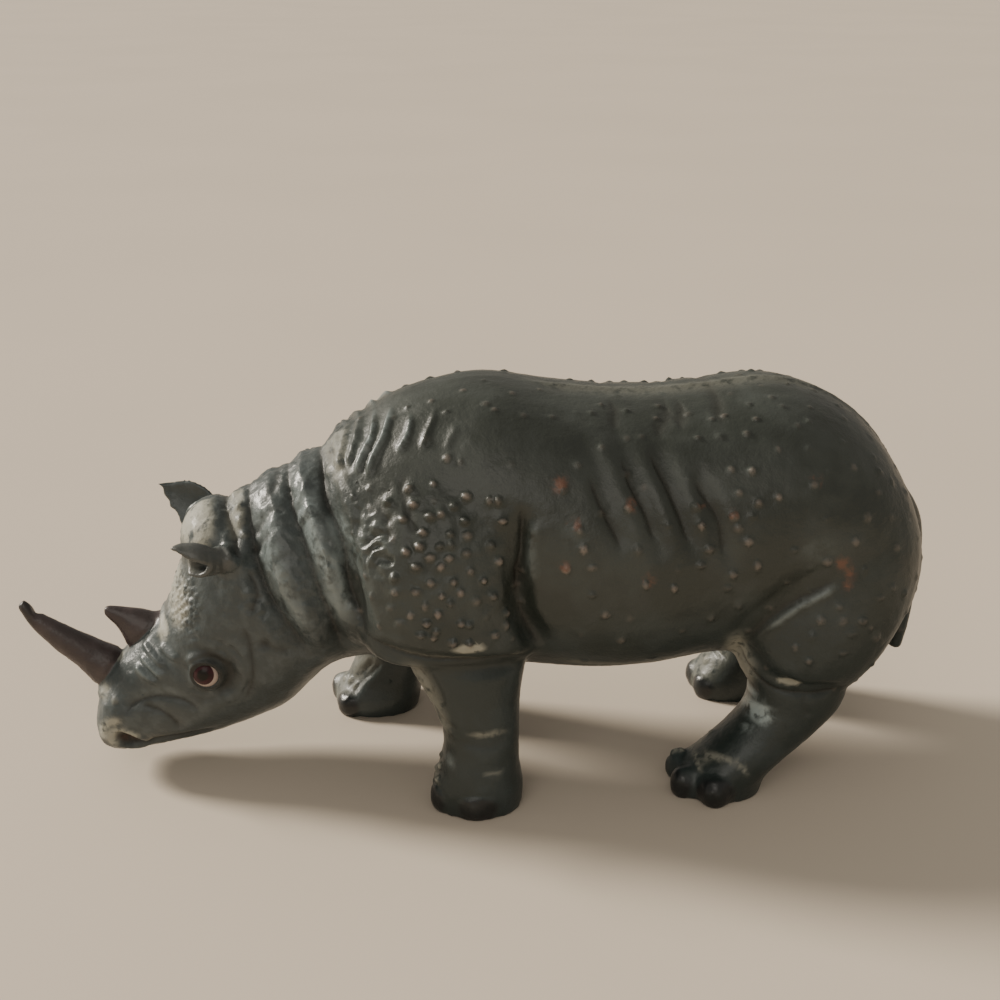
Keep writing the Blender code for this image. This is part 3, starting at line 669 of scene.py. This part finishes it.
def roughen(surface, height):
    """Leathery lumps, coarser on the neck, the withers' front and the forehead."""
    x, y, z = surface.points.T
    across = np.abs(y)
    neck = plateau(-x, (17, 22), (40, 46)) * smooth_step(z, 22, 32)
    withers = plateau(-x, (12, 18), (22, 25)) * smooth_step(z, 50, 56)
    shoulder = spread(surface.beside(*COARSE_SHOULDER)) * smooth_step(across, 8, 14)
    forehead = spread(surface.beside(*COARSE_FOREHEAD))
    poll = spread(surface.in_radii(*COARSE_POLL))
    muzzle = smooth_step(-x, 50, 58) * (1 - smooth_step(z, 20, 23))
    shield = plateau(x, (-20, -14), (2, 6)) * smooth_step(z, 30, 34) * (z < 54) * (across > 8)
    leather = np.full(len(x), 0.05)
    surface.height += height * surface.lumps(leather + 0.10 * neck + 0.05 * muzzle + 0.2 * shield, 1.9)
    surface.height += height * surface.lumps(0.04 + 0.08 * neck + 0.05 * muzzle + 0.08 * poll, 0.8)
    crests = 0.08 * withers + 0.7 * shoulder + 0.12 * neck
    surface.height += height * surface.lumps(crests, 1.9, sharp=True)
    surface.height += height * surface.pebbles(0.8 * forehead + 0.2 * poll, 1.0)
    surface.layer("rough")[:] = np.clip(forehead + 0.05 * withers + 0.2 * shoulder + 0.3 * poll, 0, 1)


def shape_spine(surface, height):
    """The low seam that runs along the back over the rump, and the worn paint beside it."""
    x = surface.points[:, 0]
    over = smooth_step(x, 6, 14) * smooth_step(surface.points[:, 2], 45, 52)
    surface.height += height * over * hill(surface.across, SPINE_HALF_WIDTH)
    half_width, strength = SPINE_WEAR
    surface.raise_layer("pale_wear_and_highlight", strength * over * hill(surface.across, half_width))


def shape_face(surface):
    """Eyelids and the hollow behind the eye, and the nostrils with their rims. Painted shade darkens the
    groove round the lids, the hollow, the upper lid and the nostril holes, and pale paint on the rims' tops
    stands in for their highlight.
    """
    painted_shade = surface.layer("painted_shade")
    right = surface.side[:, 0] - EYE[0]
    up = surface.side[:, 1] - EYE[2]
    away = np.hypot(right, up * 1.05)
    on_head = (np.abs(surface.across) > 7) & (away < 12)
    behind = smooth_step(right + 0.4 * up, -1.5, 2.5)
    lids = hill(away - EYELID_RADIUS, 0.4)
    sink = 1 - smooth_step(away, 1.4, 2.2)
    hollow = spread(np.abs(away - 3.9) / 1.7)
    rings = sum(hill(away - radius, 0.35) for radius in EYE_RINGS)
    rings *= smooth_step(surface.lumps(np.ones(len(away)) * on_head, 2.2), -0.25, 0.15)
    surface.height += on_head * (0.42 * lids - 0.9 * sink - hollow * (0.15 + 0.9 * behind))
    surface.height -= on_head * behind * 0.24 * rings
    # Painted shade in the groove round the lids, in the hollow and its rings behind the eye, and over the
    # upper lid
    painted_shade += on_head * (1.2 * hill(away - EYELID_GROOVE, 0.3) + behind * (1.1 * hollow + 0.2 * rings))
    painted_shade += on_head * 0.5 * spread(away / 5.2) * smooth_step(up, -1.0, 2.0)
    mirrored = np.column_stack([surface.points[:, 0], -np.abs(surface.across), surface.points[:, 2]])
    offset = mirrored - np.array(NOSTRIL)
    offset[:, 2] += 0.25 * offset[:, 0]
    gap = np.linalg.norm(offset / NOSTRIL_RADII, axis=1)
    rim = hill(gap - 2.1, 0.6)
    surface.height -= NOSTRIL_DEPTH * hill(gap, 1)
    surface.height += 0.5 * rim
    hole = np.exp(-((gap / 1.2) ** 4))
    # Painted shade in the nostril holes
    painted_shade += 2.0 * hole
    surface.layer("rust")[:] = 0.4 * hole
    # Pale paint on the upper edge of the nostril rims, standing in for their highlight
    worn = 1.4 * rim * smooth_step(0.8 * offset[:, 2] - 0.6 * offset[:, 0], -0.2, 0.8)
    surface.raise_layer("pale_wear_and_highlight", worn)


def shape_toes(surface, height):
    """Bulging toes with nails painted on them."""
    nail = surface.layer("nail")
    nail[:] = OUTSIDE
    points = surface.points
    for x, y, toes in FEET.values():
        offset = points[:, :2] - (x, y)
        low = (points[:, 2] < 12) & (np.hypot(offset[:, 0], offset[:, 1]) < 14)
        for direction, half_width, half_height, bulge in toes:
            turn = math.radians(direction)
            ahead = np.array((math.cos(turn), math.sin(turn)))
            reach = offset @ ahead
            aside = offset @ np.array((-ahead[1], ahead[0]))
            outer = low & (reach > 2)
            up = points[:, 2] - NAIL_HEIGHT
            swell = spread(np.hypot(aside / TOE_RADII[0], (up - 0.4) / TOE_RADII[1]))
            surface.height += outer * bulge * height * swell
            share = np.hypot(aside / half_width, up / np.where(up > 0, half_height, 3.0))
            inside = np.where(outer, (1 - share) * half_height, OUTSIDE)
            edge = smooth_step(inside, -0.2, 0.3) - hill(inside + 0.5, 0.35)
            surface.height += height * outer * NAIL_EDGE * edge
            nail[:] = np.maximum(nail, inside)


def mark_horns(surface):
    """How deep each point lies inside the horns' paint, in millimetres, and a groove at its edge."""
    horn = surface.layer("horn")
    horn[:] = OUTSIDE
    for stations, (base, ahead) in zip(HORNS, HORN_BASES):
        line = np.array([(x, z) for x, z, _ in stations])
        away, place = along_line(surface.side, line)
        radius = np.interp(place, np.linspace(0, 1, len(stations)), [r for _, _, r in stations])
        beyond = (surface.side - base) @ np.array(ahead)
        inside = np.minimum(radius + 0.6 - np.hypot(away, surface.across * 0.6), beyond)
        horn[:] = np.maximum(horn, inside)
    surface.height -= 0.3 * hill(horn, 0.4)
    surface.height += 0.2 * hill(horn + 0.9, 0.45)
    away, _ = along_line(surface.side, np.array(HORN_NOTCH))
    surface.height -= 0.5 * hill(away, 0.5) * (surface.side[:, 0] < -70)


def mark_wear(surface):
    """Rust-coloured rubs, pale lines and places where the paint is thin or where pale paint stands in for
    highlights, and painted sheen.
    """
    left = surface.across < -4
    for x, z, radius in RUST_SPOTS:
        away = surface.beside(x, z, radius, radius)
        surface.raise_layer("rust", left * (1 - smooth_step(away, 0.35, 1.1)))
    for line, half_width, strength, sign in PALE_WEAR_AND_HIGHLIGHT_LINES:
        surface.tint("pale_wear_and_highlight", line, half_width, strength, sign)
    for *spot, strength in PALE_WEAR_AND_HIGHLIGHT_SPOTS:
        away = surface.beside(*spot)
        surface.raise_layer("pale_wear_and_highlight", (surface.across < 0) * strength * (1 - smooth_step(away, 0.5, 1.2)))
    pale_wear_and_highlight = surface.layer("pale_wear_and_highlight")
    for ear in EAR_KEPT:
        pale_wear_and_highlight *= smooth_step(surface.in_radii(*ear), 0.95, 1.15)
    pale_wear_and_highlight += EAR_PALE * (1 - smooth_step(surface.in_radii(*EAR_INSIDE), 0.8, 1.1))
    on_ear = 1 - smooth_step(surface.in_radii(*EAR_KEPT[0]), 0.9, 1.1)
    surface.raise_layer("rub", EAR_RUB * on_ear)
    # Painted sheen: bluish highlights and reflections on glossy places and on lit crests
    for *spot, strength in PAINTED_SHEEN_SPOTS:
        surface.raise_layer("painted_sheen", left * strength * spread(surface.beside(*spot)))
    for line, half_width, strength in PAINTED_SHEEN_LINES:
        surface.tint("painted_sheen", line, half_width, strength)


def apply_modifiers(obj):
    graph = bpy.context.evaluated_depsgraph_get()
    mesh = bpy.data.meshes.new_from_object(obj.evaluated_get(graph))
    old = obj.data
    obj.modifiers.clear()
    obj.data = mesh
    bpy.data.meshes.remove(old)


def new_object(name, mesh):
    made = bpy.data.objects.new(name, mesh)
    bpy.context.scene.collection.objects.link(made)
    return made


def object_of(name, shape):
    """A new object from a bmesh, which is freed."""
    mesh = bpy.data.meshes.new(name)
    shape.to_mesh(mesh)
    shape.free()
    return new_object(name, mesh)


def finish_piece(obj, material):
    obj.data.materials.clear()
    obj.data.materials.append(material)
    obj.data.polygons.foreach_set("use_smooth", [True] * len(obj.data.polygons))
    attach(obj, "root")


def between_rows(rows, at):
    """The row of a table, by its first column, at a value."""
    table = np.array(rows, float)
    order = np.argsort(table[:, 0])
    return [np.interp(at, table[order, 0], table[order, k]) for k in range(1, table.shape[1])]


def near_ear_point(u, v):
    """A point of the near ear: u goes round from its seam over the top, v from the head."""
    front = between_rows(EAR_FRONT, u)[0]
    root = EAR_SECTIONS[0][0]
    round_edge = Vector((math.cos(math.tau * u) * 1.6, math.sin(math.tau * u) * 1.6, 3.0))
    front += 0.2 * noise.noise(round_edge)
    x = root + (front - root) * v
    y, z, deep, tall = between_rows(EAR_SECTIONS, x)
    turn = math.radians(EAR_SEAM) + math.tau * u
    return Vector((x, y - deep * math.cos(turn), z + tall * math.sin(turn)))


def far_ear_point(u, v):
    """A point of the far ear: u goes from its front edge to its back edge, v from the head."""
    rows = [(k, *row) for k, row in enumerate(FAR_EAR)]
    front_x, front_z, back_x, back_z, depth = between_rows(rows, v * (len(rows) - 1))
    frayed = 0.35 * noise.noise(Vector((v * 9.0, 7.0, 0.0))) * (1 - u) ** 2 * smooth_step(v, 0.2, 0.4)
    x = front_x + (back_x - front_x) * u - frayed
    cup = FAR_EAR_CUP * (1 - (2 * u - 1) ** 2) * (1 - v**3)
    return Vector((x, depth + cup, front_z + (back_z - front_z) * u))


def ear_shell(ears, point_at, grid, wall):
    """A curved sheet with a wall, added to a bmesh of ears."""
    sheet = bmesh.new()
    bmesh.ops.create_grid(sheet, x_segments=grid[0], y_segments=grid[1], size=1)
    for vert in sheet.verts:
        vert.co = point_at((vert.co.x + 1) / 2, (vert.co.y + 1) / 2) * MM
    bmesh.ops.remove_doubles(sheet, verts=sheet.verts, dist=1e-6)
    bmesh.ops.recalc_face_normals(sheet, faces=sheet.faces)
    bmesh.ops.solidify(sheet, geom=sheet.faces, thickness=wall * MM)
    bmesh.ops.recalc_face_normals(sheet, faces=sheet.faces)
    mesh = bpy.data.meshes.new("ear")
    sheet.to_mesh(mesh)
    sheet.free()
    ears.from_mesh(mesh)
    bpy.data.meshes.remove(mesh)


def add_ball(shape, centre, radii, subdivisions=4):
    made = bmesh.ops.create_icosphere(shape, subdivisions=subdivisions, radius=1)["verts"]
    bmesh.ops.scale(shape, vec=Vector(radii) * MM, verts=made)
    bmesh.ops.translate(shape, vec=Vector(centre) * MM, verts=made)


class Nodes:
    """A material's node tree, built with short calls."""

    def __init__(self, name):
        self.material = bpy.data.materials.new(name)
        self.material.use_nodes = True
        self.tree = self.material.node_tree
        self.shader = self.tree.nodes["Principled BSDF"]
        self.place = self.add("ShaderNodeTexCoord").outputs["Object"]

    def add(self, kind, **settings):
        node = self.tree.nodes.new(kind)
        for key, value in settings.items():
            setattr(node, key, value)
        return node

    def feed(self, socket, value):
        if isinstance(value, bpy.types.NodeSocket):
            self.tree.links.new(value, socket)
        else:
            socket.default_value = value

    def fill(self, node, settings):
        for name, value in settings.items():
            self.feed(node.inputs[name], value)

    def grain(self, strength, distance, height):
        """Fine relief of the finish, by a height."""
        node = self.add("ShaderNodeBump")
        self.fill(node, {"Strength": strength, "Distance": distance, "Height": height})
        self.feed(self.shader.inputs["Normal"], node.outputs["Normal"])

    def attribute(self, name):
        return self.add("ShaderNodeAttribute", attribute_name=name).outputs["Fac"]

    def math(self, operation, first, second=0.0, clamp=False):
        node = self.add("ShaderNodeMath", operation=operation, use_clamp=clamp)
        self.feed(node.inputs[0], first)
        self.feed(node.inputs[1], second)
        return node.outputs[0]

    def distance(self, right, up):
        squares = (self.math("POWER", side, 2.0) for side in (right, up))
        return self.math("SQRT", self.math("ADD", *squares))

    def times(self, first, second, clamp=False):
        return self.math("MULTIPLY", first, second, clamp)

    def noise(self, scale, detail=2.0, roughness=0.5):
        node = self.add("ShaderNodeTexNoise")
        self.fill(node, {"Vector": self.place, "Scale": scale, "Detail": detail, "Roughness": roughness})
        return node.outputs["Fac"]

    def ramp(self, value, low, high, from_value=0.0, to_value=1.0):
        node = self.add("ShaderNodeMapRange", interpolation_type="SMOOTHSTEP")
        self.fill(node, {"Value": value, "From Min": low, "From Max": high})
        self.fill(node, {"To Min": from_value, "To Max": to_value})
        return node.outputs["Result"]

    def mix(self, share, first, second, kind="RGBA"):
        """Between two colours, or numbers, by a share."""
        node = self.add("ShaderNodeMix", data_type=kind)
        for name, value in (("Factor", share), ("A", first), ("B", second)):
            plain = isinstance(value, (float, bpy.types.NodeSocket))
            self.feed(node.inputs[name], value if plain else (*value, 1))
        return node.outputs["Result"]

    def axis(self, letter):
        node = self.add("ShaderNodeSeparateXYZ")
        self.feed(node.inputs[0], self.place)
        return node.outputs[letter]


def painted_pvc(paint):
    nodes = Nodes("painted_pvc")
    forward = nodes.ramp(nodes.axis("X"), *HEAD_TO_TRUNK, 1.0, 0.0)
    cloudy = nodes.ramp(nodes.noise(95, 3.0, 0.55), 0.40, 0.66)
    mottled = nodes.ramp(nodes.noise(420, 2.0, 0.6), 0.42, 0.70)
    green = nodes.mix(cloudy, paint.body, paint.body_light)
    # Cooler green painted low down, to offset the warm light that the floor throws up
    low = nodes.ramp(nodes.axis("Z"), *LEGS_TO_TRUNK, 1.0, 0.0)
    green = nodes.mix(low, green, nodes.mix(cloudy, paint.legs, paint.legs_light))
    face = nodes.mix(mottled, paint.face, paint.face_light)
    colour = nodes.mix(nodes.times(forward, 0.85), green, face)
    # Painted sheen: a bluish highlight painted where the skin catches the light
    smeared = nodes.ramp(nodes.noise(380, 3.0, 0.6), 0.30, 0.56)
    painted_sheen = nodes.times(nodes.attribute("painted_sheen"), smeared, clamp=True)
    colour = nodes.mix(nodes.times(painted_sheen, 0.9, clamp=True), colour, paint.painted_sheen)
    # Pale where the paint is worn thin, and painted highlight where pale paint stands in for light on lit
    # edges and the top of the head
    streaks = nodes.ramp(nodes.noise(560, 3.0, 0.6), 0.30, 0.54)
    pale_wear_and_highlight = nodes.times(nodes.attribute("pale_wear_and_highlight"), streaks, clamp=True)
    colour = nodes.mix(pale_wear_and_highlight, colour, paint.pale_wear_and_highlight)
    # Painted shade: dark brown laid where shade falls, in the creases, round the eyes and in the nostrils.
    painted_shade = nodes.math("MINIMUM", nodes.attribute("painted_shade"), 1.15)
    colour = nodes.mix(nodes.times(painted_shade, 0.72), colour, paint.painted_shade)
    speckle = nodes.ramp(nodes.noise(900, 2.0, 0.6), 0.20, 0.50)
    rub = nodes.times(nodes.attribute("rub"), speckle, clamp=True)
    colour = nodes.mix(nodes.times(rub, 0.7), colour, paint.rub)
    rust = nodes.times(nodes.attribute("rust"), nodes.ramp(nodes.noise(700, 2.0), 0.34, 0.60))
    colour = nodes.mix(nodes.times(rust, 0.55), colour, paint.rust)
    wobble = nodes.times(nodes.noise(500, 1.0), 0.3)
    on_horn = nodes.ramp(nodes.math("ADD", nodes.attribute("horn"), wobble), 0.10, 0.22)
    horn = nodes.mix(nodes.ramp(nodes.noise(300, 3.0), 0.4, 0.7), paint.horn, paint.horn_light)
    tip = nodes.ramp(nodes.axis("X"), *TIP_TO_HORN, 1.0, 0.0)
    horn = nodes.mix(tip, horn, paint.horn_tip)
    colour = nodes.mix(on_horn, colour, horn)
    on_nail = nodes.ramp(nodes.math("ADD", nodes.attribute("nail"), wobble), -0.25, 0.55)
    nail = nodes.mix(nodes.ramp(nodes.noise(520, 3.0), 0.45, 0.75), paint.nail, paint.nail_light)
    colour = nodes.mix(on_nail, colour, nail)
    gloss = 0.40
    for share, rougher in (
        (cloudy, 0.50),
        (nodes.times(forward, 0.6), 0.36),
        (painted_sheen, 0.24),
        (rub, 0.42),
        (nodes.times(pale_wear_and_highlight, 2.0, clamp=True), 0.62),
        (nodes.times(painted_shade, 0.8), 0.78),
        (on_horn, 0.42),
        (on_nail, 0.33),
    ):
        gloss = nodes.mix(share, gloss, rougher, "FLOAT")
    nodes.fill(nodes.shader, {"Base Color": colour, "Roughness": gloss})
    nodes.fill(nodes.shader, {"Coat Weight": 0.08, "Coat Roughness": 0.2})
    pebbled = nodes.add("ShaderNodeTexVoronoi", feature="F1")
    nodes.fill(pebbled, {"Vector": nodes.place, "Scale": 1250})
    pebbles = nodes.times(pebbled.outputs["Distance"], -2.2)
    bumpy = nodes.times(nodes.attribute("rough"), pebbles)
    pores = nodes.math("ADD", nodes.noise(1500, 3.0, 0.6), nodes.noise(520, 2.0, 0.5))
    nodes.grain(0.3, 0.0003, nodes.math("ADD", pores, bumpy))
    return nodes.material


def eye_paint(paint):
    nodes = Nodes("eye_paint")
    right = nodes.math("SUBTRACT", nodes.axis("X"), EYE[0] * MM)
    up = nodes.math("SUBTRACT", nodes.axis("Z"), EYE[2] * MM)
    away = nodes.distance(right, up)
    to_back = nodes.math("ADD", right, IRIS_AHEAD)
    upward = nodes.math("SUBTRACT", up, IRIS_ABOVE)
    iris_away = nodes.distance(to_back, upward)
    brushed = nodes.ramp(nodes.noise(700, 2.0), 0.35, 0.7)
    iris = nodes.mix(brushed, paint.iris, paint.iris_light)
    iris = nodes.mix(nodes.ramp(iris_away, *PUPIL_EDGE), paint.rim, iris)
    colour = nodes.mix(nodes.ramp(iris_away, *IRIS_EDGE), iris, paint.white)
    colour = nodes.mix(nodes.ramp(away, *WHITE_EDGE), colour, paint.rim)
    nodes.fill(nodes.shader, {"Base Color": colour, "Roughness": 0.35, "Specular IOR Level": 0.2})
    nodes.fill(nodes.shader, {"Coat Weight": 0.1, "Coat Roughness": 0.06})
    nodes.grain(0.12, 0.0001, nodes.noise(1200, 2.0))
    return nodes.material


def floor_finish(colour):
    nodes = Nodes("pale_floor")
    light = nodes.ramp(nodes.noise(6, 2.0), 0.3, 0.7)
    worn = nodes.mix(light, colour, [channel * 0.97 for channel in colour])
    nodes.fill(nodes.shader, {"Base Color": worn, "Roughness": 0.9})
    return nodes.material


def colour_property(name, description, value):
    return bpy.props.FloatVectorProperty(
        name=name, description=description, subtype="COLOR", size=3, min=0, max=1, default=value
    )


def share_property(name, description):
    return bpy.props.FloatProperty(name=name, description=description, default=1.0, min=0, max=2)


def length_property(name, description, value, smallest):
    return bpy.props.FloatProperty(
        name=name, description=description, default=value, min=smallest, unit="LENGTH", precision=5
    )


def light_property(name, description, value):
    return bpy.props.FloatProperty(name=name, description=description, default=value, min=0)


class FigurinePaint(bpy.types.PropertyGroup):
    body: colour_property("Body", "Dark olive green of the trunk", (0.0245, 0.0300, 0.0243))
    body_light: colour_property("Body, light", "Thinner green between the dark", (0.040, 0.0475, 0.0415))
    # Cooler green painted low down to offset the floor's warm bounce light
    legs: colour_property("Legs", "Cooler green of the legs and thighs", (0.0195, 0.0285, 0.0265))
    legs_light: colour_property("Legs, light", "Thinner paint on the legs", (0.032, 0.044, 0.044))
    face: colour_property("Face", "Grey green of the head and neck", (0.046, 0.0575, 0.058))
    face_light: colour_property("Face, light", "Lighter grey green there", (0.067, 0.082, 0.085))
    # Painted sheen: the faintly blue highlight colour
    painted_sheen: colour_property("Shine", "Faintly blue tinge of the shiny places", (0.34, 0.40, 0.40))
    # Pale worn paint, and painted highlight on lit edges
    pale_wear_and_highlight: colour_property("Pale", "Where the paint is thin over the pale moulding", (0.30, 0.295, 0.245))
    # Painted shade: the dark brown laid in creases, hollows and nostrils where shade falls.
    painted_shade: colour_property("Wash", "Dark brown that lies in the creases", (0.018, 0.016, 0.011))
    rub: colour_property("Rubbed", "Bare moulding on the tops of the warts", (0.26, 0.21, 0.175))
    rust: colour_property("Rust", "Orange brown of the worn spots", (0.22, 0.085, 0.045))
    horn: colour_property("Horn", "Brown purple of the horns", (0.040, 0.029, 0.029))
    horn_light: colour_property("Horn, light", "Lighter brown on the horns", (0.058, 0.042, 0.042))
    horn_tip: colour_property("Horn tip", "Blackened end of the front horn", (0.022, 0.018, 0.017))
    nail: colour_property("Nails", "Black of the nails", (0.009, 0.011, 0.012))
    nail_light: colour_property("Nails, worn", "Grey where the black is thin", (0.014, 0.018, 0.018))
    iris: colour_property("Iris", "Dark red of the eyes", (0.020, 0.005, 0.007))
    iris_light: colour_property("Iris, light", "Lighter red of the eyes", (0.048, 0.013, 0.017))
    white: colour_property("White of the eye", "Pinkish white behind the iris", (0.42, 0.34, 0.30))
    rim: colour_property("Rim of the eye", "Dark line round the eye", (0.012, 0.010, 0.008))


class FigurineSkin(bpy.types.PropertyGroup):
    voxel: length_property("Fineness", "Grid of the remade skin", 0.00032, 0.0002)
    folds: share_property("Folds", "Share of the folds' depth")
    wrinkles: share_property("Wrinkles", "Share of the wrinkles' depth")
    warts: share_property("Warts", "Share of the warts' height")
    toes: share_property("Toes", "Share of the toes' bulge")
    leather: share_property("Leather", "Share of the lumps' height")
    spine: length_property("Spine seam", "Height of the seam along the back", 0.00035, 0.0)
    ear_wall: length_property("Ear wall", "Thickness of the ears", 0.00075, 0.0005)
    triangles: bpy.props.IntProperty(
        name="Triangles", description="Faces kept in the skin", default=195000, min=20000
    )


class FigurineStage(bpy.types.PropertyGroup):
    floor: colour_property("Floor", "Pale warm floor", (0.65, 0.562, 0.462))
    key: light_property("Key light", "Window light, in watts a square metre", 5.4)
    key_angle: bpy.props.FloatProperty(
        name="Softness",
        description="How wide the window light is",
        default=math.radians(14),
        min=0,
        subtype="ANGLE",
    )
    fill: light_property("Fill light", "Light on the near side, in watts", 1.9)
    sky: light_property("Sky", "Strength of the light all round", 0.38)


class FIGURINE_OT_skin(bpy.types.Operator):
    """Remake the figure's skin finely, with folds, wrinkles, warts and toes, and paint it"""

    bl_idname = "figurine.skin"
    bl_label = "Skin"

    def execute(self, context):
        settings = context.scene.figurine_skin
        merged = bmesh.new()
        merged.from_mesh(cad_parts[NODE].data)
        bmesh.ops.remove_doubles(merged, verts=merged.verts, dist=1e-7)
        skin = object_of("skin", merged)
        self.take_ears_off(skin)
        self.put_ears_on(skin, settings.ear_wall / MM)
        remesh = skin.modifiers.new("Remesh", "REMESH")
        remesh.mode = "VOXEL"
        remesh.voxel_size = settings.voxel
        apply_modifiers(skin)
        passes, grid = SOFTENING
        self.soften(skin, round(passes * (grid / settings.voxel) ** 2))
        self.level_folds(skin)
        surface = Surface(skin.data)
        shape_toes(surface, settings.toes)
        carve_creases(surface, settings.folds, settings.wrinkles)
        raise_warts(surface, settings.warts)
        roughen(surface, settings.leather)
        shape_spine(surface, settings.spine / MM)
        shape_face(surface)
        mark_horns(surface)
        mark_wear(surface)
        surface.write()
        thin = skin.modifiers.new("Thin out", "DECIMATE")
        thin.ratio = min(1.0, settings.triangles / (2 * len(surface.points)))
        apply_modifiers(skin)
        finish_piece(skin, painted_pvc(context.scene.figurine_paint))
        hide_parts(NODE)
        return {"FINISHED"}

    def take_ears_off(self, skin):
        """Cut the plain ears away, to make room for thin ones."""
        rooms = []
        for centre, radii in EAR_ROOMS:
            ball = bmesh.new()
            add_ball(ball, centre, radii)
            room = object_of("ear_room", ball)
            cut = skin.modifiers.new("Ear room", "BOOLEAN")
            cut.operation = "DIFFERENCE"
            cut.solver = "EXACT"
            cut.object = room
            rooms.append(room)
        apply_modifiers(skin)
        for room in rooms:
            mesh = room.data
            bpy.data.objects.remove(room)
            bpy.data.meshes.remove(mesh)

    def put_ears_on(self, skin, wall):
        """Add both ears, which the new skin joins to the head."""
        shape = bmesh.new()
        shape.from_mesh(skin.data)
        ear_shell(shape, near_ear_point, NEAR_EAR_GRID, wall)
        ear_shell(shape, far_ear_point, FAR_EAR_GRID, wall)
        for centre, radii in EAR_ROOTS:
            add_ball(shape, centre, radii, 3)
        shape.to_mesh(skin.data)
        shape.free()

    def soften(self, skin, iterations):
        """Smooth the facets away, least at the horns, ears, tail and feet."""
        surface = Surface(skin.data)
        x, y, z = surface.points.T
        small = np.maximum.reduce(
            [
                smooth_step(-x, 52, 57) * smooth_step(z, 17, 21),
                0.8 - 0.8 * smooth_step(z, 4, 8),
                smooth_step(x, 66, 70) * (1 - smooth_step(z, 24, 30)),
            ]
            + [1 - smooth_step(surface.in_radii(*ear), 0.9, 1.3) for ear in EAR_KEPT]
        )
        self.smooth_where(skin, 1 - 0.9 * small, iterations)

    def smooth_where(self, skin, share, iterations, levels=8):
        group = skin.vertex_groups.new(name="smoothed")
        level = np.round(share * levels).astype(int)
        for k in range(1, levels + 1):
            group.add(np.where(level == k)[0].tolist(), k / levels, "REPLACE")
        smooth = skin.modifiers.new("Soften", "SMOOTH")
        smooth.factor = 0.5
        smooth.iterations = iterations
        smooth.vertex_group = group.name
        apply_modifiers(skin)
        skin.vertex_groups.clear()

    def level_folds(self, skin):
        """Smooth away the broad valleys where folds will be carved."""
        surface = Surface(skin.data)
        share = np.zeros(len(surface.points))
        for line, _, _, _, half_width in FOLDS:
            if half_width:
                near, away, ends = surface.near_line(line, 1.3 * half_width)
                band = ends * (1 - smooth_step(np.abs(away), 0.8 * half_width, 1.25 * half_width))
                share[near] = np.maximum(share[near], band)
        self.smooth_where(skin, share, LEVELLING_PASSES)


class FIGURINE_OT_eyes(bpy.types.Operator):
    """Set the painted eyeballs in their lids"""

    bl_idname = "figurine.eyes"
    bl_label = "Eyes"

    def execute(self, context):
        balls = bmesh.new()
        for side in (1, -1):
            made = bmesh.ops.create_uvsphere(balls, u_segments=48, v_segments=32, radius=1)["verts"]
            bmesh.ops.scale(balls, vec=Vector(EYE_RADII) * MM, verts=made)
            bmesh.ops.translate(balls, vec=Vector((EYE[0], EYE[1] * side, EYE[2])) * MM, verts=made)
        finish_piece(object_of("eyes", balls), eye_paint(context.scene.figurine_paint))
        return {"FINISHED"}


class FIGURINE_OT_stage(bpy.types.Operator):
    """Lay the floor and set the lights and the camera"""

    bl_idname = "figurine.stage"
    bl_label = "Stage"

    def execute(self, context):
        settings = context.scene.figurine_stage
        scene = context.scene
        plane = bmesh.new()
        bmesh.ops.create_grid(plane, x_segments=1, y_segments=1, size=6)
        floor = object_of("floor", plane)
        floor.data.materials.append(floor_finish(settings.floor))
        window = bpy.data.lights.new("window", "SUN")
        window.energy = settings.key
        window.angle = settings.key_angle
        window.color = WINDOW_COLOUR
        self.aim(new_object("window", window), WINDOW_PLACE)
        room = bpy.data.lights.new("room", "AREA")
        room.size = 0.6
        room.energy = settings.fill
        room.color = ROOM_COLOUR
        self.aim(new_object("room", room), ROOM_PLACE)
        world = bpy.data.worlds.new("sky")
        world.use_nodes = True
        background = world.node_tree.nodes["Background"]
        background.inputs["Color"].default_value = (*SKY_COLOUR, 1)
        background.inputs["Strength"].default_value = settings.sky
        scene.world = world
        camera = bpy.data.cameras.new("camera")
        camera.lens = CAMERA_LENS
        camera.clip_start = 0.01
        camera_object = new_object("camera", camera)
        camera_object.location = CAMERA_PLACE
        camera_object.rotation_euler = CAMERA_TURN
        scene.camera = camera_object
        return {"FINISHED"}

    def aim(self, lamp, place):
        """Stand a lamp at a place, turned to the figure."""
        lamp.location = place
        lamp.rotation_euler = (Vector(LIT_POINT) - Vector(place)).to_track_quat("-Z", "Y").to_euler()


class FIGURINE_PT_panel(bpy.types.Panel):
    """The figurine's operators and settings"""

    bl_label = "Figurine"
    bl_idname = "FIGURINE_PT_panel"
    bl_space_type = "VIEW_3D"
    bl_region_type = "UI"
    bl_category = "Figurine"

    def draw(self, context):
        layout = self.layout
        for operator in OPERATORS:
            layout.operator(operator.bl_idname)
        for name, group in GROUPS.items():
            box = layout.box()
            for setting in group.__annotations__:
                box.prop(getattr(context.scene, name), setting)


GROUPS = {
    "figurine_paint": FigurinePaint,
    "figurine_skin": FigurineSkin,
    "figurine_stage": FigurineStage,
}
OPERATORS = (FIGURINE_OT_skin, FIGURINE_OT_eyes, FIGURINE_OT_stage)


def register():
    for cls in (*GROUPS.values(), *OPERATORS, FIGURINE_PT_panel):
        bpy.utils.register_class(cls)
    for name, group in GROUPS.items():
        setattr(bpy.types.Scene, name, bpy.props.PointerProperty(type=group))


def unregister():
    for name in GROUPS:
        delattr(bpy.types.Scene, name)
    for cls in (FIGURINE_PT_panel, *reversed(OPERATORS), *reversed(GROUPS.values())):
        bpy.utils.unregister_class(cls)


def main():
    register()
    bpy.ops.figurine.skin()
    bpy.ops.figurine.eyes()
    bpy.ops.figurine.stage()


if __name__ == "__main__":
    main()
